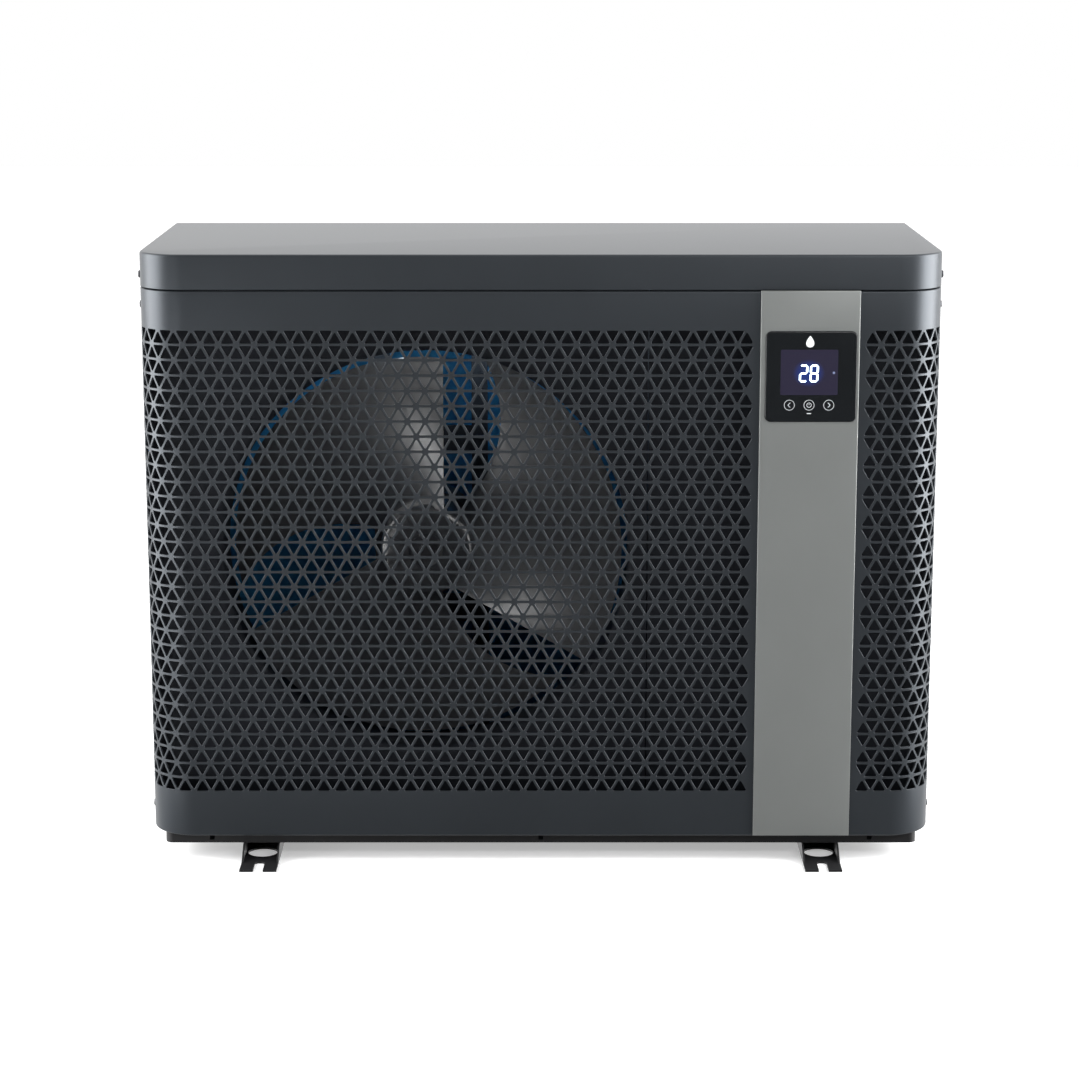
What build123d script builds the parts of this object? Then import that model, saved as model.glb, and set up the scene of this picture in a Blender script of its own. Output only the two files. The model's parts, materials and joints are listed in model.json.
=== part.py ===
from build123d import *
import math
import os

# Pool heat pump: inverter outdoor unit with a side-to-side cabinet, front air outlet,
# L-shaped evaporator on the left and rear, and a technical compartment on the right.
# +X is the unit's right seen from the front, the front faces -Y, +Z is up.
# The origin is on the ground under the centre of the unit. Millimetres.

# ---- driving dimensions: grille lattice and cabinet ----
BAR_ROW = 20.0                                # height of one row of the front lattice
CELL = 2.0 * BAR_ROW / math.sqrt(3.0)         # side of one lattice triangle
FLAT_CELLS = 20                               # lattice cells from the centre to the corner's start
CORNER_R = 60.0                               # round front vertical corners
FLAT_X = FLAT_CELLS * CELL
HALF_W = FLAT_X + CORNER_R
HALF_D = 215.0
CORNER_Y = -HALF_D + CORNER_R
PAN_Z = 20.0                                  # underside of the base pan
PANEL_Z0 = 35.0
PANEL_Z1 = 765.0
LID_Z0 = 766.5
LID_Z1 = 812.0
GRILLE_TOP = 715.5
GRILLE_BOTTOM = 95.5
SHEET = 1.5                                   # folded sheet steel
PANEL_T = 2.5                                 # moulded front panel

# ---- front lattice: each opening here joins four of the small ones ----
LATTICE_ROWS = 16
LATTICE_HALF = CELL
LATTICE_BAR = 6.0
MAIN_FIELD_CELLS = 12                         # the main field ends this many cells right of centre
RIGHT_FIELD_CELLS = 18                        # the right field starts here

# ---- control strip and control head ----
STRIP_X0 = 283.0
STRIP_X1 = 411.0
STRIP_T = 3.0
STRIP_BEVEL = 1.2
HEAD_X = 348.7
HEAD_Z = 654.5
HEAD_SIDE = 118.0
HEAD_R = 8.0
HEAD_BODY = 108.0
HEAD_CUTOUT = 110.0
HEAD_WALL = 2.0
HEAD_BACK_Y = -190.0
BEZEL_Y = -HALF_D - STRIP_T
GLASS_T = 1.5
LCD_W = 78.0
LCD_H = 63.0
LCD_T = 4.0
LCD_DX = -2.5
LCD_DZ = 6.0
BOARD_T = 1.6

# ---- base pan and foot rails ----
PAN_HALF_X = 504.0
PAN_HALF_Y = 198.0
PAN_WALL_TOP = 52.0
PAN_FLOOR_Z = PAN_Z + SHEET
PAN_CORNER_R = 10.0
PAN_SLOT = 6.5
PAN_SLOT_X = 441.0
RAIL_IN = 350.0
RAIL_OUT = 399.0
RAIL_END_Y = 262.0
RAIL_T = 2.5
RAIL_LIP = 16.0
RAIL_WEB_Y = 205.0
ANCHOR_HOLE_R = 19.75
ANCHOR_HOLE_Y = 185.0
NOTCH_W = 13.0
NOTCH_L = 36.0
FOOT_BOLT_Y = 52.0
FOOT_BOLT_R = 3.0
FOOT_BOLT_XS = (RAIL_IN + 9.5, RAIL_OUT - 9.5)
FOOT_HOLE_R = FOOT_BOLT_R + 0.5
FOOT_HEX_R = 5.8
FOOT_HEX_H = 5.0
DRAIN_X = -153.0
DRAIN_Y = 140.0
DRAIN_R = 11.0                                # hole in the pan floor
DRAIN_NECK_R = 10.7
DRAIN_NECK_Z = 17.0                            # shoulder under the pan floor
DRAIN_TAIL_R = 9.5
DRAIN_BORE_R = 7.5
DRAIN_FLANGE_R = 18.0
DRAIN_FLANGE_T = 2.0
DRAIN_END_Z = 3.0

# ---- fan, ring and motor ----
FAN_X = -153.0
FAN_Z = 406.0
RING_R = 270.0
RING_WALL = 2.5
RING_BACK_Y = -62.0
SHROUD_Y = -135.0
SHROUD_X0 = -502.0
DECK_END_X = 520.0                            # the front sheets reach the side panels above the pan
FOLD_GAP = 1.5
LIP_R = 12.0
BLADES = 3
BLADE_TIP_R = 262.0
BLADE_ROOT_R = 56.0
BLADE_T = 4.0
BLADE_FRONT_Y = -140.0
BLADE_DEPTH = 84.0
STRAIGHT_EDGE_OFFSET = 24.0                   # the front edge is a straight line this far off radial
CURVED_EDGE_ROOT_DEG = 46.0                   # the rear edge bulges, in degrees clockwise from vertical
CURVED_EDGE_MID_DEG = 36.0
CURVED_EDGE_TIP_DEG = 17.0
HUB_R = 62.0
HUB_FRONT_Y = -128.0
HUB_BACK_Y = -52.0
HUB_EDGE_R = 10.0
HUB_WALL = 4.0
HUB_FACE_T = 14.0
HUB_BOSS_R = 16.0
HUB_NUT_R = 11.0
HUB_NUT_L = 12.0
SHAFT_R = 6.0
RUNNING_GAP = 0.05
MOTOR_R = 62.0
MOTOR_FRONT_Y = -28.0
MOTOR_BACK_Y = 52.0
MOTOR_BOSS_R = 22.0
MOTOR_BOSS_L = 8.0
MOTOR_COVER_L = 6.0
SHAFT_END_Y = MOTOR_BACK_Y - 14.0
RAIL_X_OFFSET = 68.0
MOTOR_RAIL_W = 22.0
MOTOR_RAIL_D = 26.0
MOTOR_RAIL_T = 2.0
MOTOR_PLATE_UP = 120.0
MOTOR_PLATE_HALF_H = 20.0
MOTOR_LUG_HALF_H = 14.0
MOTOR_SCREW_UP = 8.0
INSIDE_TOP = PANEL_Z1 - 5.0                   # top of the sheets inside the cabinet

# ---- compartments and evaporator ----
PARTITION_X0 = 143.0
PARTITION_X1 = PARTITION_X0 + SHEET
COIL_X0 = -502.0
COIL_X1 = 141.5
COIL_T = 38.0
COIL_Y0 = -118.0
COIL_Y1 = 196.0
COIL_Z0 = PAN_FLOOR_Z
COIL_Z1 = 752.0
COIL_BEND_R = 60.0                            # outside of the coil's rear left bend
BEND_ROWS = 14
BEND_TUBE_R = 4.75
BEND_R = 10.0
HEADER_X = 172.0
HEADER_MARGIN = 40.0
GAS_HEADER_R = 9.0
LIQUID_HEADER_R = 6.0
GAS_HEADER_Y = COIL_Y1 - COIL_T * 0.25
LIQUID_HEADER_Y = COIL_Y1 - COIL_T * 0.75 - LIQUID_HEADER_R

# ---- refrigerant circuit ----
COMP_X = 298.0
COMP_Y = -22.0
COMP_R = 65.0
COMP_Z0 = 46.0
COMP_Z1 = 350.0
COMP_DOME_R = 26.0
COMP_PLATE_T = 3.0
COMP_FOOT_REACH = 76.0
COMP_FOOT_R = 14.0
COMP_FEET = 3
GROMMET_R = 12.0
STUD_R = 4.0
TERMINAL_COVER_HALF_W = 24.0
TERMINAL_COVER_Z0 = 230.0
TERMINAL_COVER_Z1 = 290.0
ACC_X = 196.0
ACC_R = 32.0
ACC_Z0 = 100.0
ACC_Z1 = 330.0
CLAMP_HALF_W = 10.0
CLAMP_Z0 = 200.0
CLAMP_Z1 = 220.0
PIPE_R = 7.0
BEND = 12.0
DISCHARGE_Z = 520.0
SUCTION_Z = 366.0
GAS_Z = 386.0
VALVE_Y = 90.0
VALVE_Z = 440.0
VALVE_R = 17.0
VALVE_HALF_L = 52.0
VALVE_TOP_Z = VALVE_Z + 36.0
PILOT_R = 8.0
PILOT_Y = VALVE_Y - 27.0
PILOT_X1 = COMP_X + 34.0
PILOT_L = 26.0
PILOT_BRIDGE_H = 10.0
SOLENOID_L = 28.0
SOLENOID_CUT = 7.0
VALVE_STUB = 28.0
VALVE_STUB_Z = 404.0
LIQUID_Z = 120.0
LIQUID_R = 5.0
DRIER_Y = 118.0
DRIER_R = 16.0
DRIER_X0 = 250.0
DRIER_X1 = 330.0
EXV_X0 = 206.0
EXV_X1 = 234.0
EXV_R = 10.0
EXV_STEM_R = 9.0
EXV_TOP_Z = LIQUID_Z + 34.0
EXV_COIL_Z = LIQUID_Z + 12.0
EXV_COIL_R = 20.0

# ---- water circuit ----
EXCH_X = 424.0
EXCH_Y = 118.0
EXCH_R = 70.0
EXCH_WALL = 6.0
EXCH_Z0 = 60.0
EXCH_Z1 = 540.0
EXCH_CAP_T = 12.0
TITANIUM_TURNS = 13
TITANIUM_TURN_R = 45.0
TITANIUM_TUBE_R = 8.0
INLET_Z = 130.0
OUTLET_Z = 470.0
PIPE_OUT_R = 25.0
PIPE_IN_R = 21.0
COLLAR_R = 33.2
COLLAR_Y1 = 229.0
SEAL_T = 2.0
TAIL_FLANGE_R = 33.0
TAIL_FLANGE_T = 6.0
TAIL_R = 29.0
SOCKET_R = 25.1                               # takes a 50 mm water pipe
SOCKET_L = 27.0
NUT_R = 41.0
NUT_Y0 = 217.5
NUT_Y1 = 243.0
NUT_LIP_Y = 237.3
NUT_BORE_R = 33.5
NUT_RIBS = 12
NUT_RIB_R = 3.0
PADDLE_Y = 201.0
PADDLE_PIVOT_UP = 19.0
PADDLE_HALF_T = 0.8
PADDLE_R = 12.0
PADDLE_STEM_HALF_W = 3.0
PIVOT_R = 1.8
SWITCH_STEM_R = 10.0
SWITCH_HALF_X = 14.0
SWITCH_HALF_Y = 11.0
SWITCH_HEAD_UP = 20.0
SWITCH_TOP_UP = 60.0

# ---- electrical box ----
EBOX_X0 = 170.0
EBOX_X1 = 490.0
EBOX_Y0 = -128.0
EBOX_Y1 = 60.0
EBOX_Z0 = 590.0
EBOX_Z1 = 740.0
BOARD_MARGIN = 20.0
BOARD_UP = 14.0
CAPACITOR_R = 14.0
CAPACITOR_Y = -40.0
CAPACITORS = ((230.0, 30.0), (290.0, 24.0), (350.0, 40.0))    # place across the board, height
STANDOFF_R = 4.0
TERMINAL_X0 = 410.0
TERMINAL_X1 = 480.0
TERMINAL_DEPTH = 17.5
TERMINAL_PITCH = 12.0
TERMINAL_HOLE_R = 3.0
SINK_X0 = 96.0
SINK_Y0 = -100.0
SINK_Y1 = 20.0
SINK_Z0 = 610.0
SINK_Z1 = 720.0
SINK_BASE_T = 6.0
SINK_FINS = 9
SINK_FIN_T = 3.0
GLAND_X = 300.0
GLAND_ZS = (560.0, 620.0)
GLAND_BORE_R = 7.0
GLAND_R = 12.0
GLAND_THREAD_R = 8.8
GLAND_INSIDE = 12.0
GLAND_HEX_L = 7.0
GLAND_L = 20.0

# ---- side panels ----
PANEL_BACK_Y = HALF_D - SHEET
WINDOW_Y0 = -105.0
WINDOW_Y1 = 185.0
WINDOW_Z0 = 75.0
WINDOW_Z1 = 640.0
GUARD_BAR = 4.0
GUARD_STEP = 36.0
GUARD_MARGIN = 8.0
POST_LEG = 26.0
REAR_SPLIT_X = 158.0                          # the rear panel starts here, right of the coil guard
COVER_T = 1.5
COVER_R = 6.0
COVER_LAP = 8.0
COVER_Y0 = -110.0
COVER_Y1 = 120.0
COVER_Z0 = 420.0
COVER_Z1 = 640.0
GRIP_Y = 20.0
GRIP_Z = 700.0
GRIP_W = 130.0
GRIP_H = 36.0
GRIP_DEPTH = 18.0
GRIP_FLANGE_T = 1.5
GRIP_FLANGE_W = 6.0
GRIP_WALL = 2.0
SCREW_HEAD_R = 5.0
SCREW_HEAD_H = 3.5
SCREW_SHANK_R = 2.1
SCREW_L = 12.0
LID_SCREW_Z = 780.0
LID_SCREW_YS = (-150.0, 150.0)
REAR_SCREW_ZS = (60.0, 400.0, 740.0)
SIDE_SCREW_ZS = (60.0, 740.0)


# ---- helpers ----
def block(x0, x1, y0, y1, z0, z1):
    centre = Pos((x0 + x1) / 2, (y0 + y1) / 2, (z0 + z1) / 2)
    return centre * Box(x1 - x0, y1 - y0, z1 - z0)


def rod_x(y, z, radius, x0, x1):
    return Pos((x0 + x1) / 2, y, z) * Rot(0, 90, 0) * Cylinder(radius, x1 - x0)


def rod_y(x, z, radius, y0, y1):
    return Pos(x, (y0 + y1) / 2, z) * Rot(90, 0, 0) * Cylinder(radius, y1 - y0)


def rod_z(x, y, radius, z0, z1):
    return Pos(x, y, (z0 + z1) / 2) * Cylinder(radius, z1 - z0)


def tube_y(x, z, outer, inner, y0, y1):
    return rod_y(x, z, outer, y0, y1) - rod_y(x, z, inner, y0 - 1, y1 + 1)


def tube_z(x, y, outer, inner, z0, z1):
    return rod_z(x, y, outer, z0, z1) - rod_z(x, y, inner, z0 - 1, z1 + 1)


def pipe(points, radius=PIPE_R, bend=BEND):
    path = FilletPolyline(*points, radius=bend)
    section = Plane(origin=path @ 0, z_dir=path % 0) * Circle(radius)
    return sweep(section, path=path)


def plate_with_holes(outline, holes, y0, thickness):
    """Upright plate in the XZ plane from outline and hole corner points, growing towards +Y."""
    outer = Wire.make_polygon([Vector(x, y0, z) for x, z in outline], close=True)
    inner = [Wire.make_polygon([Vector(x, y0, z) for x, z in hole], close=True) for hole in holes]
    return Solid.extrude(Face(outer, inner), Vector(0, thickness, 0))


def rectangle(x0, x1, z0, z1):
    return [(x0, z0), (x1, z0), (x1, z1), (x0, z1)]


def screw(direction, x, y, z):
    """Dome-head screw whose head stands on the point, with its shank going inwards."""
    head = Cylinder(SCREW_HEAD_R, SCREW_HEAD_H, align=(Align.CENTER, Align.CENTER, Align.MIN))
    rounding = SCREW_HEAD_H * 0.6
    head = fillet(head.edges().sort_by(Axis.Z)[-1], rounding)
    shank = Cylinder(SCREW_SHANK_R, SCREW_L, align=(Align.CENTER, Align.CENTER, Align.MAX))
    return Plane(origin=(x, y, z), z_dir=direction) * (head + shank)


def save(name, *solids):
    shape = solids[0] if len(solids) == 1 else Compound(children=list(solids))
    export_step(shape, os.path.join("parts", name + ".step"))


def mirror_x(shape):
    return mirror(shape, about=Plane.YZ)


# ---- cabinet ----
def footprint(inset):
    """Plan outline of the cabinet: round front corners and square rear corners."""
    half = HALF_W - inset
    front = -HALF_D + inset
    back = HALF_D - inset
    radius = CORNER_R - inset
    line = Polyline((half, CORNER_Y), (half, back), (-half, back), (-half, CORNER_Y))
    left = CenterArc((-FLAT_X, CORNER_Y), radius, 180, 90)
    base = Line((-FLAT_X, front), (FLAT_X, front))
    right = CenterArc((FLAT_X, CORNER_Y), radius, 270, 90)
    return make_face(Curve() + [line, left, base, right])


def lid():
    top_r = 4.0
    shell = extrude(Pos(0, 0, LID_Z0) * footprint(0), LID_Z1 - LID_Z0)
    shell = fillet(shell.edges().group_by(Axis.Z)[-1], top_r)
    hollow = extrude(Pos(0, 0, LID_Z0 - 1) * footprint(SHEET), LID_Z1 - SHEET - LID_Z0 + 1)
    return shell - hollow


def lid_screws():
    right = [screw((1, 0, 0), HALF_W, y, LID_SCREW_Z) for y in LID_SCREW_YS]
    return right + [mirror_x(s) for s in right]


def lattice_cell(centre, base, tip):
    """One triangular opening: the lattice triangle shrunk about its incentre by half a bar."""
    slant = math.hypot(LATTICE_HALF, tip - base)
    inradius = LATTICE_HALF * abs(tip - base) / (LATTICE_HALF + slant)
    scale = 1.0 - LATTICE_BAR / 2 / inradius
    middle = base + math.copysign(inradius, tip - base)
    corners = [(-LATTICE_HALF, base), (LATTICE_HALF, base), (0.0, tip)]
    return [(centre + dx * scale, middle + (z - middle) * scale) for dx, z in corners]


def lattice(cells_from, cells_to):
    """Openings of every lattice row between two lattice columns, counted from the centre."""
    row_height = (GRILLE_TOP - GRILLE_BOTTOM) / LATTICE_ROWS
    openings = []
    for row in range(LATTICE_ROWS):
        high = GRILLE_TOP - row * row_height
        low = high - row_height
        for cell in range(cells_from + 1, cells_to):
            points_up = (cell + row) % 2 == 0
            base, tip = (low, high) if points_up else (high, low)
            openings.append(lattice_cell(cell * CELL, base, tip))
    return openings


def front_grille():
    cutout = HEAD_CUTOUT / 2
    outline = rectangle(-FLAT_X, FLAT_X, PANEL_Z0, PANEL_Z1)
    holes = lattice(-FLAT_CELLS, MAIN_FIELD_CELLS) + lattice(RIGHT_FIELD_CELLS, FLAT_CELLS)
    holes.append(rectangle(HEAD_X - cutout, HEAD_X + cutout, HEAD_Z - cutout, HEAD_Z + cutout))
    return plate_with_holes(outline, holes, -HALF_D, PANEL_T)


def corner_grille():
    """Left quarter-round corner of the front panel, with the lattice carried on round it."""
    column_cells = 4
    shell = tube_z(-FLAT_X, CORNER_Y, CORNER_R, CORNER_R - PANEL_T, PANEL_Z0, PANEL_Z1)
    shell &= block(-HALF_W, -FLAT_X, -HALF_D, CORNER_Y, PANEL_Z0, PANEL_Z1)
    cutters = []
    for opening in lattice(-FLAT_CELLS - column_cells, -FLAT_CELLS):
        middle = (opening[0][0] + opening[1][0]) / 2
        turn = math.degrees((-FLAT_X - middle) / CORNER_R)
        corners = [Vector(x - middle, 0, z) for x, z in opening]
        face = Face(Wire.make_polygon(corners, close=True))
        prism = Solid.extrude(face, Vector(0, -2 * CORNER_R, 0))
        cutters.append(Pos(-FLAT_X, CORNER_Y, 0) * Rot(0, 0, -turn) * prism)
    return shell - cutters


def control_strip():
    bar = block(STRIP_X0, STRIP_X1, BEZEL_Y, -HALF_D, PANEL_Z0 + 1, PANEL_Z1 + 1)
    bar = chamfer(bar.faces().sort_by(Axis.Y)[0].edges(), STRIP_BEVEL)
    return bar - rounded_square(HEAD_SIDE + 0.6, HEAD_R, BEZEL_Y - 1, -HALF_D + 1)


def rounded_square(side, radius, y0, y1):
    sketch = Plane(origin=(HEAD_X, y1, HEAD_Z), z_dir=(0, -1, 0)) * RectangleRounded(side, side, radius)
    return extrude(sketch, y1 - y0)


def hmi_housing():
    half = HEAD_BODY / 2
    inner = half - HEAD_WALL
    bezel = rounded_square(HEAD_SIDE, HEAD_R, BEZEL_Y, -HALF_D)
    body = block(HEAD_X - half, HEAD_X + half, -HALF_D, HEAD_BACK_Y, HEAD_Z - half, HEAD_Z + half)
    hollow = block(HEAD_X - inner, HEAD_X + inner, BEZEL_Y - 1, HEAD_BACK_Y - HEAD_WALL,
                   HEAD_Z - inner, HEAD_Z + inner)
    return bezel + body - hollow


def hmi_glass():
    glass = rounded_square(HEAD_SIDE, HEAD_R, BEZEL_Y - GLASS_T, BEZEL_Y)
    return chamfer(glass.faces().sort_by(Axis.Y)[0].edges(), GLASS_T / 2)


def lcd_module():
    x = HEAD_X + LCD_DX
    z = HEAD_Z + LCD_DZ
    return block(x - LCD_W / 2, x + LCD_W / 2, BEZEL_Y, BEZEL_Y + LCD_T, z - LCD_H / 2, z + LCD_H / 2)


def hmi_board():
    half = HEAD_BODY / 2 - HEAD_WALL
    front = BEZEL_Y + LCD_T
    return block(HEAD_X - half, HEAD_X + half, front, front + BOARD_T, HEAD_Z - half, HEAD_Z + half)


def grip_frame(x0, x1, grow):
    return block(x0, x1, GRIP_Y - GRIP_W / 2 - grow, GRIP_Y + GRIP_W / 2 + grow,
                 GRIP_Z - GRIP_H / 2 - grow, GRIP_Z + GRIP_H / 2 + grow)


def side_sheet():
    """Plain right side sheet, before its openings."""
    return block(HALF_W - SHEET, HALF_W, CORNER_Y, PANEL_BACK_Y, PANEL_Z0, PANEL_Z1)


def side_grip():
    """Right recessed hand grip: a cup with a thin flange on the outside of the panel."""
    cup = grip_frame(HALF_W - GRIP_DEPTH, HALF_W, 0)
    flange = grip_frame(HALF_W, HALF_W + GRIP_FLANGE_T, GRIP_FLANGE_W)
    hollow = grip_frame(HALF_W - GRIP_DEPTH + GRIP_WALL, HALF_W + GRIP_FLANGE_T + 1, -GRIP_WALL)
    return cup + flange - hollow


def left_side_panel():
    window = block(-HALF_W - 1, -HALF_W + SHEET + 1, WINDOW_Y0, WINDOW_Y1, WINDOW_Z0, WINDOW_Z1)
    return mirror_x(side_sheet() - grip_frame(HALF_W - SHEET - 1, HALF_W + 1, 0)) - window


def right_side_panel():
    opening = block(HALF_W - SHEET - 1, HALF_W + 1, COVER_Y0 + COVER_LAP, COVER_Y1 - COVER_LAP,
                    COVER_Z0 + COVER_LAP, COVER_Z1 - COVER_LAP)
    return side_sheet() - grip_frame(HALF_W - SHEET - 1, HALF_W + 1, 0) - opening


def access_cover():
    cover = block(HALF_W, HALF_W + COVER_T, COVER_Y0, COVER_Y1, COVER_Z0, COVER_Z1)
    return fillet(cover.edges().filter_by(Axis.X), COVER_R)


def guard_grid(x0, x1, z0, z1, y0, step_x, step_z):
    """Welded grid guard: square openings inside a frame, in the XZ plane."""
    columns = max(1, round((x1 - x0) / step_x))
    rows = max(1, round((z1 - z0) / step_z))
    wide = (x1 - x0 - GUARD_BAR) / columns
    tall = (z1 - z0 - GUARD_BAR) / rows
    holes = []
    for column in range(columns):
        for row in range(rows):
            left = x0 + GUARD_BAR + column * wide
            low = z0 + GUARD_BAR + row * tall
            holes.append(rectangle(left, left + wide - GUARD_BAR, low, low + tall - GUARD_BAR))
    return plate_with_holes(rectangle(x0, x1, z0, z1), holes, y0, GUARD_BAR)


def left_coil_guard():
    """Grid behind the left panel's window."""
    grid = guard_grid(WINDOW_Y0 - GUARD_MARGIN, WINDOW_Y1 + GUARD_MARGIN,
                      WINDOW_Z0 - GUARD_MARGIN, WINDOW_Z1 + GUARD_MARGIN, 0, 2 * GUARD_STEP, GUARD_STEP)
    return Pos(-HALF_W + SHEET + GUARD_BAR, 0, 0) * Rot(0, 0, 90) * grid


def rear_post():
    """Left rear corner post: an angle that joins the left panel, the pan and the lid."""
    clear = GUARD_MARGIN + 1
    x0 = -HALF_W + SHEET
    flat = block(-HALF_W, x0 + POST_LEG, PANEL_BACK_Y, HALF_D, PANEL_Z0, PANEL_Z1)
    inner = block(x0, x0 + SHEET, PANEL_BACK_Y - POST_LEG, PANEL_BACK_Y, PANEL_Z0, PANEL_Z1)
    guard_room = block(x0 - 1, x0 + SHEET + GUARD_BAR, -HALF_D, WINDOW_Y1 + clear,
                       WINDOW_Z0 - clear, WINDOW_Z1 + clear)
    return flat + (inner - guard_room)


def rear_coil_guard():
    return guard_grid(-HALF_W + SHEET + POST_LEG, REAR_SPLIT_X, PANEL_Z0, PANEL_Z1,
                      HALF_D - GUARD_BAR, 2 * GUARD_STEP, GUARD_STEP)


def rear_panel():
    panel = block(REAR_SPLIT_X, HALF_W, PANEL_BACK_Y, HALF_D, PANEL_Z0, PANEL_Z1)
    for z in (INLET_Z, OUTLET_Z):
        panel -= rod_y(EXCH_X, z, PIPE_OUT_R + 1, PANEL_BACK_Y - 1, HALF_D + 1)
    for z in GLAND_ZS:
        panel -= rod_y(GLAND_X, z, GLAND_THREAD_R + 0.2, PANEL_BACK_Y - 1, HALF_D + 1)
    return panel


def panel_screws():
    edge = 12.0
    rear = [screw((0, 1, 0), x, HALF_D, z) for x in (REAR_SPLIT_X + edge, HALF_W - edge)
            for z in REAR_SCREW_ZS]
    side = [screw((1, 0, 0), HALF_W, y, z) for y in (CORNER_Y + edge, PANEL_BACK_Y - edge)
            for z in SIDE_SCREW_ZS]
    cover = [screw((1, 0, 0), HALF_W + COVER_T, (COVER_Y0 + COVER_Y1) / 2, z)
             for z in (COVER_Z0 + COVER_LAP / 2, COVER_Z1 - COVER_LAP / 2)]
    return rear + side + [mirror_x(s) for s in side] + cover


# ---- base ----
def base_pan():
    tray = extrude(Pos(0, 0, PAN_Z) * RectangleRounded(2 * PAN_HALF_X, 2 * PAN_HALF_Y, PAN_CORNER_R),
                   PAN_WALL_TOP - PAN_Z)
    hollow = extrude(Pos(0, 0, PAN_FLOOR_Z) * RectangleRounded(
        2 * (PAN_HALF_X - SHEET), 2 * (PAN_HALF_Y - SHEET), PAN_CORNER_R - SHEET), PAN_WALL_TOP)
    tray -= hollow
    for x in (-PAN_SLOT_X, 0.0, PAN_SLOT_X):
        tray -= block(x - PAN_SLOT / 2, x + PAN_SLOT / 2, -PAN_HALF_Y - 1, -PAN_HALF_Y + SHEET + 1,
                      PAN_Z + 4, PAN_Z + 4 + PAN_SLOT)
    tray -= rod_z(DRAIN_X, DRAIN_Y, DRAIN_R, PAN_Z - 1, PAN_FLOOR_Z + 1)
    for x in FOOT_BOLT_XS:
        for sx in (-1, 1):
            for sy in (-1, 1):
                tray -= rod_z(sx * x, sy * FOOT_BOLT_Y, FOOT_HOLE_R, PAN_Z - 1, PAN_FLOOR_Z + 1)
    return tray


def drain_spigot():
    """Condensate outlet: flange on the pan floor, neck through it, and a short hose tail."""
    top = PAN_FLOOR_Z + DRAIN_FLANGE_T
    spigot = rod_z(DRAIN_X, DRAIN_Y, DRAIN_FLANGE_R, PAN_FLOOR_Z, top)
    spigot += rod_z(DRAIN_X, DRAIN_Y, DRAIN_NECK_R, DRAIN_NECK_Z, PAN_FLOOR_Z)
    spigot += rod_z(DRAIN_X, DRAIN_Y, DRAIN_TAIL_R, DRAIN_END_Z, DRAIN_NECK_Z)
    return spigot - rod_z(DRAIN_X, DRAIN_Y, DRAIN_BORE_R, DRAIN_END_Z - 1, top + 1)


def foot_rail():
    """Right rail: bottom flange with two webs and lips under the pan, and a flat tab at each end."""
    rail = block(RAIL_IN, RAIL_OUT, -RAIL_END_Y, RAIL_END_Y, 0, RAIL_T)
    web = Polyline((-RAIL_END_Y + 30, RAIL_T), (-RAIL_WEB_Y, PAN_Z), (RAIL_WEB_Y, PAN_Z),
                   (RAIL_END_Y - 30, RAIL_T), close=True)
    for x in (RAIL_IN, RAIL_OUT - RAIL_T):
        rail += extrude(Plane(origin=(x, 0, 0), x_dir=(0, 1, 0), z_dir=(1, 0, 0)) * make_face(web), RAIL_T)
    lip_y = ANCHOR_HOLE_Y - ANCHOR_HOLE_R - 6
    for x in (RAIL_IN, RAIL_OUT - RAIL_LIP):
        rail += block(x, x + RAIL_LIP, -lip_y, lip_y, PAN_Z - RAIL_T, PAN_Z)
    middle = (RAIL_IN + RAIL_OUT) / 2
    for side in (-1, 1):
        rail -= rod_z(middle, side * ANCHOR_HOLE_Y, ANCHOR_HOLE_R, -1, RAIL_T + 1)
        tip = side * (RAIL_END_Y - NOTCH_L + NOTCH_W / 2)
        end = side * (RAIL_END_Y + 1)
        rail -= rod_z(middle, tip, NOTCH_W / 2, -1, RAIL_T + 1)
        rail -= block(middle - NOTCH_W / 2, middle + NOTCH_W / 2, min(tip, end), max(tip, end),
                      -1, RAIL_T + 1)
        for x in FOOT_BOLT_XS:
            rail -= rod_z(x, side * FOOT_BOLT_Y, FOOT_HOLE_R, PAN_Z - RAIL_T - 1, PAN_Z + 1)
    return rail


def foot_fasteners():
    """Bolts from above through the pan floor and the rail lips, and their nuts."""
    bolts = []
    nuts = []
    nut_top = PAN_Z - RAIL_T
    nut_low = nut_top - FOOT_HEX_H
    for x in FOOT_BOLT_XS:
        for sx in (-1, 1):
            for sy in (-1, 1):
                spot = Pos(sx * x, sy * FOOT_BOLT_Y, 0)
                head = extrude(Pos(0, 0, PAN_FLOOR_Z) * RegularPolygon(FOOT_HEX_R, 6), FOOT_HEX_H)
                bolts.append(spot * (head + rod_z(0, 0, FOOT_BOLT_R, nut_low - 2, PAN_FLOOR_Z)))
                nut = extrude(Pos(0, 0, nut_low) * RegularPolygon(FOOT_HEX_R, 6), FOOT_HEX_H)
                nuts.append(spot * (nut - rod_z(0, 0, FOOT_BOLT_R, 0, nut_top + 1)))
    return bolts + nuts


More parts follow.
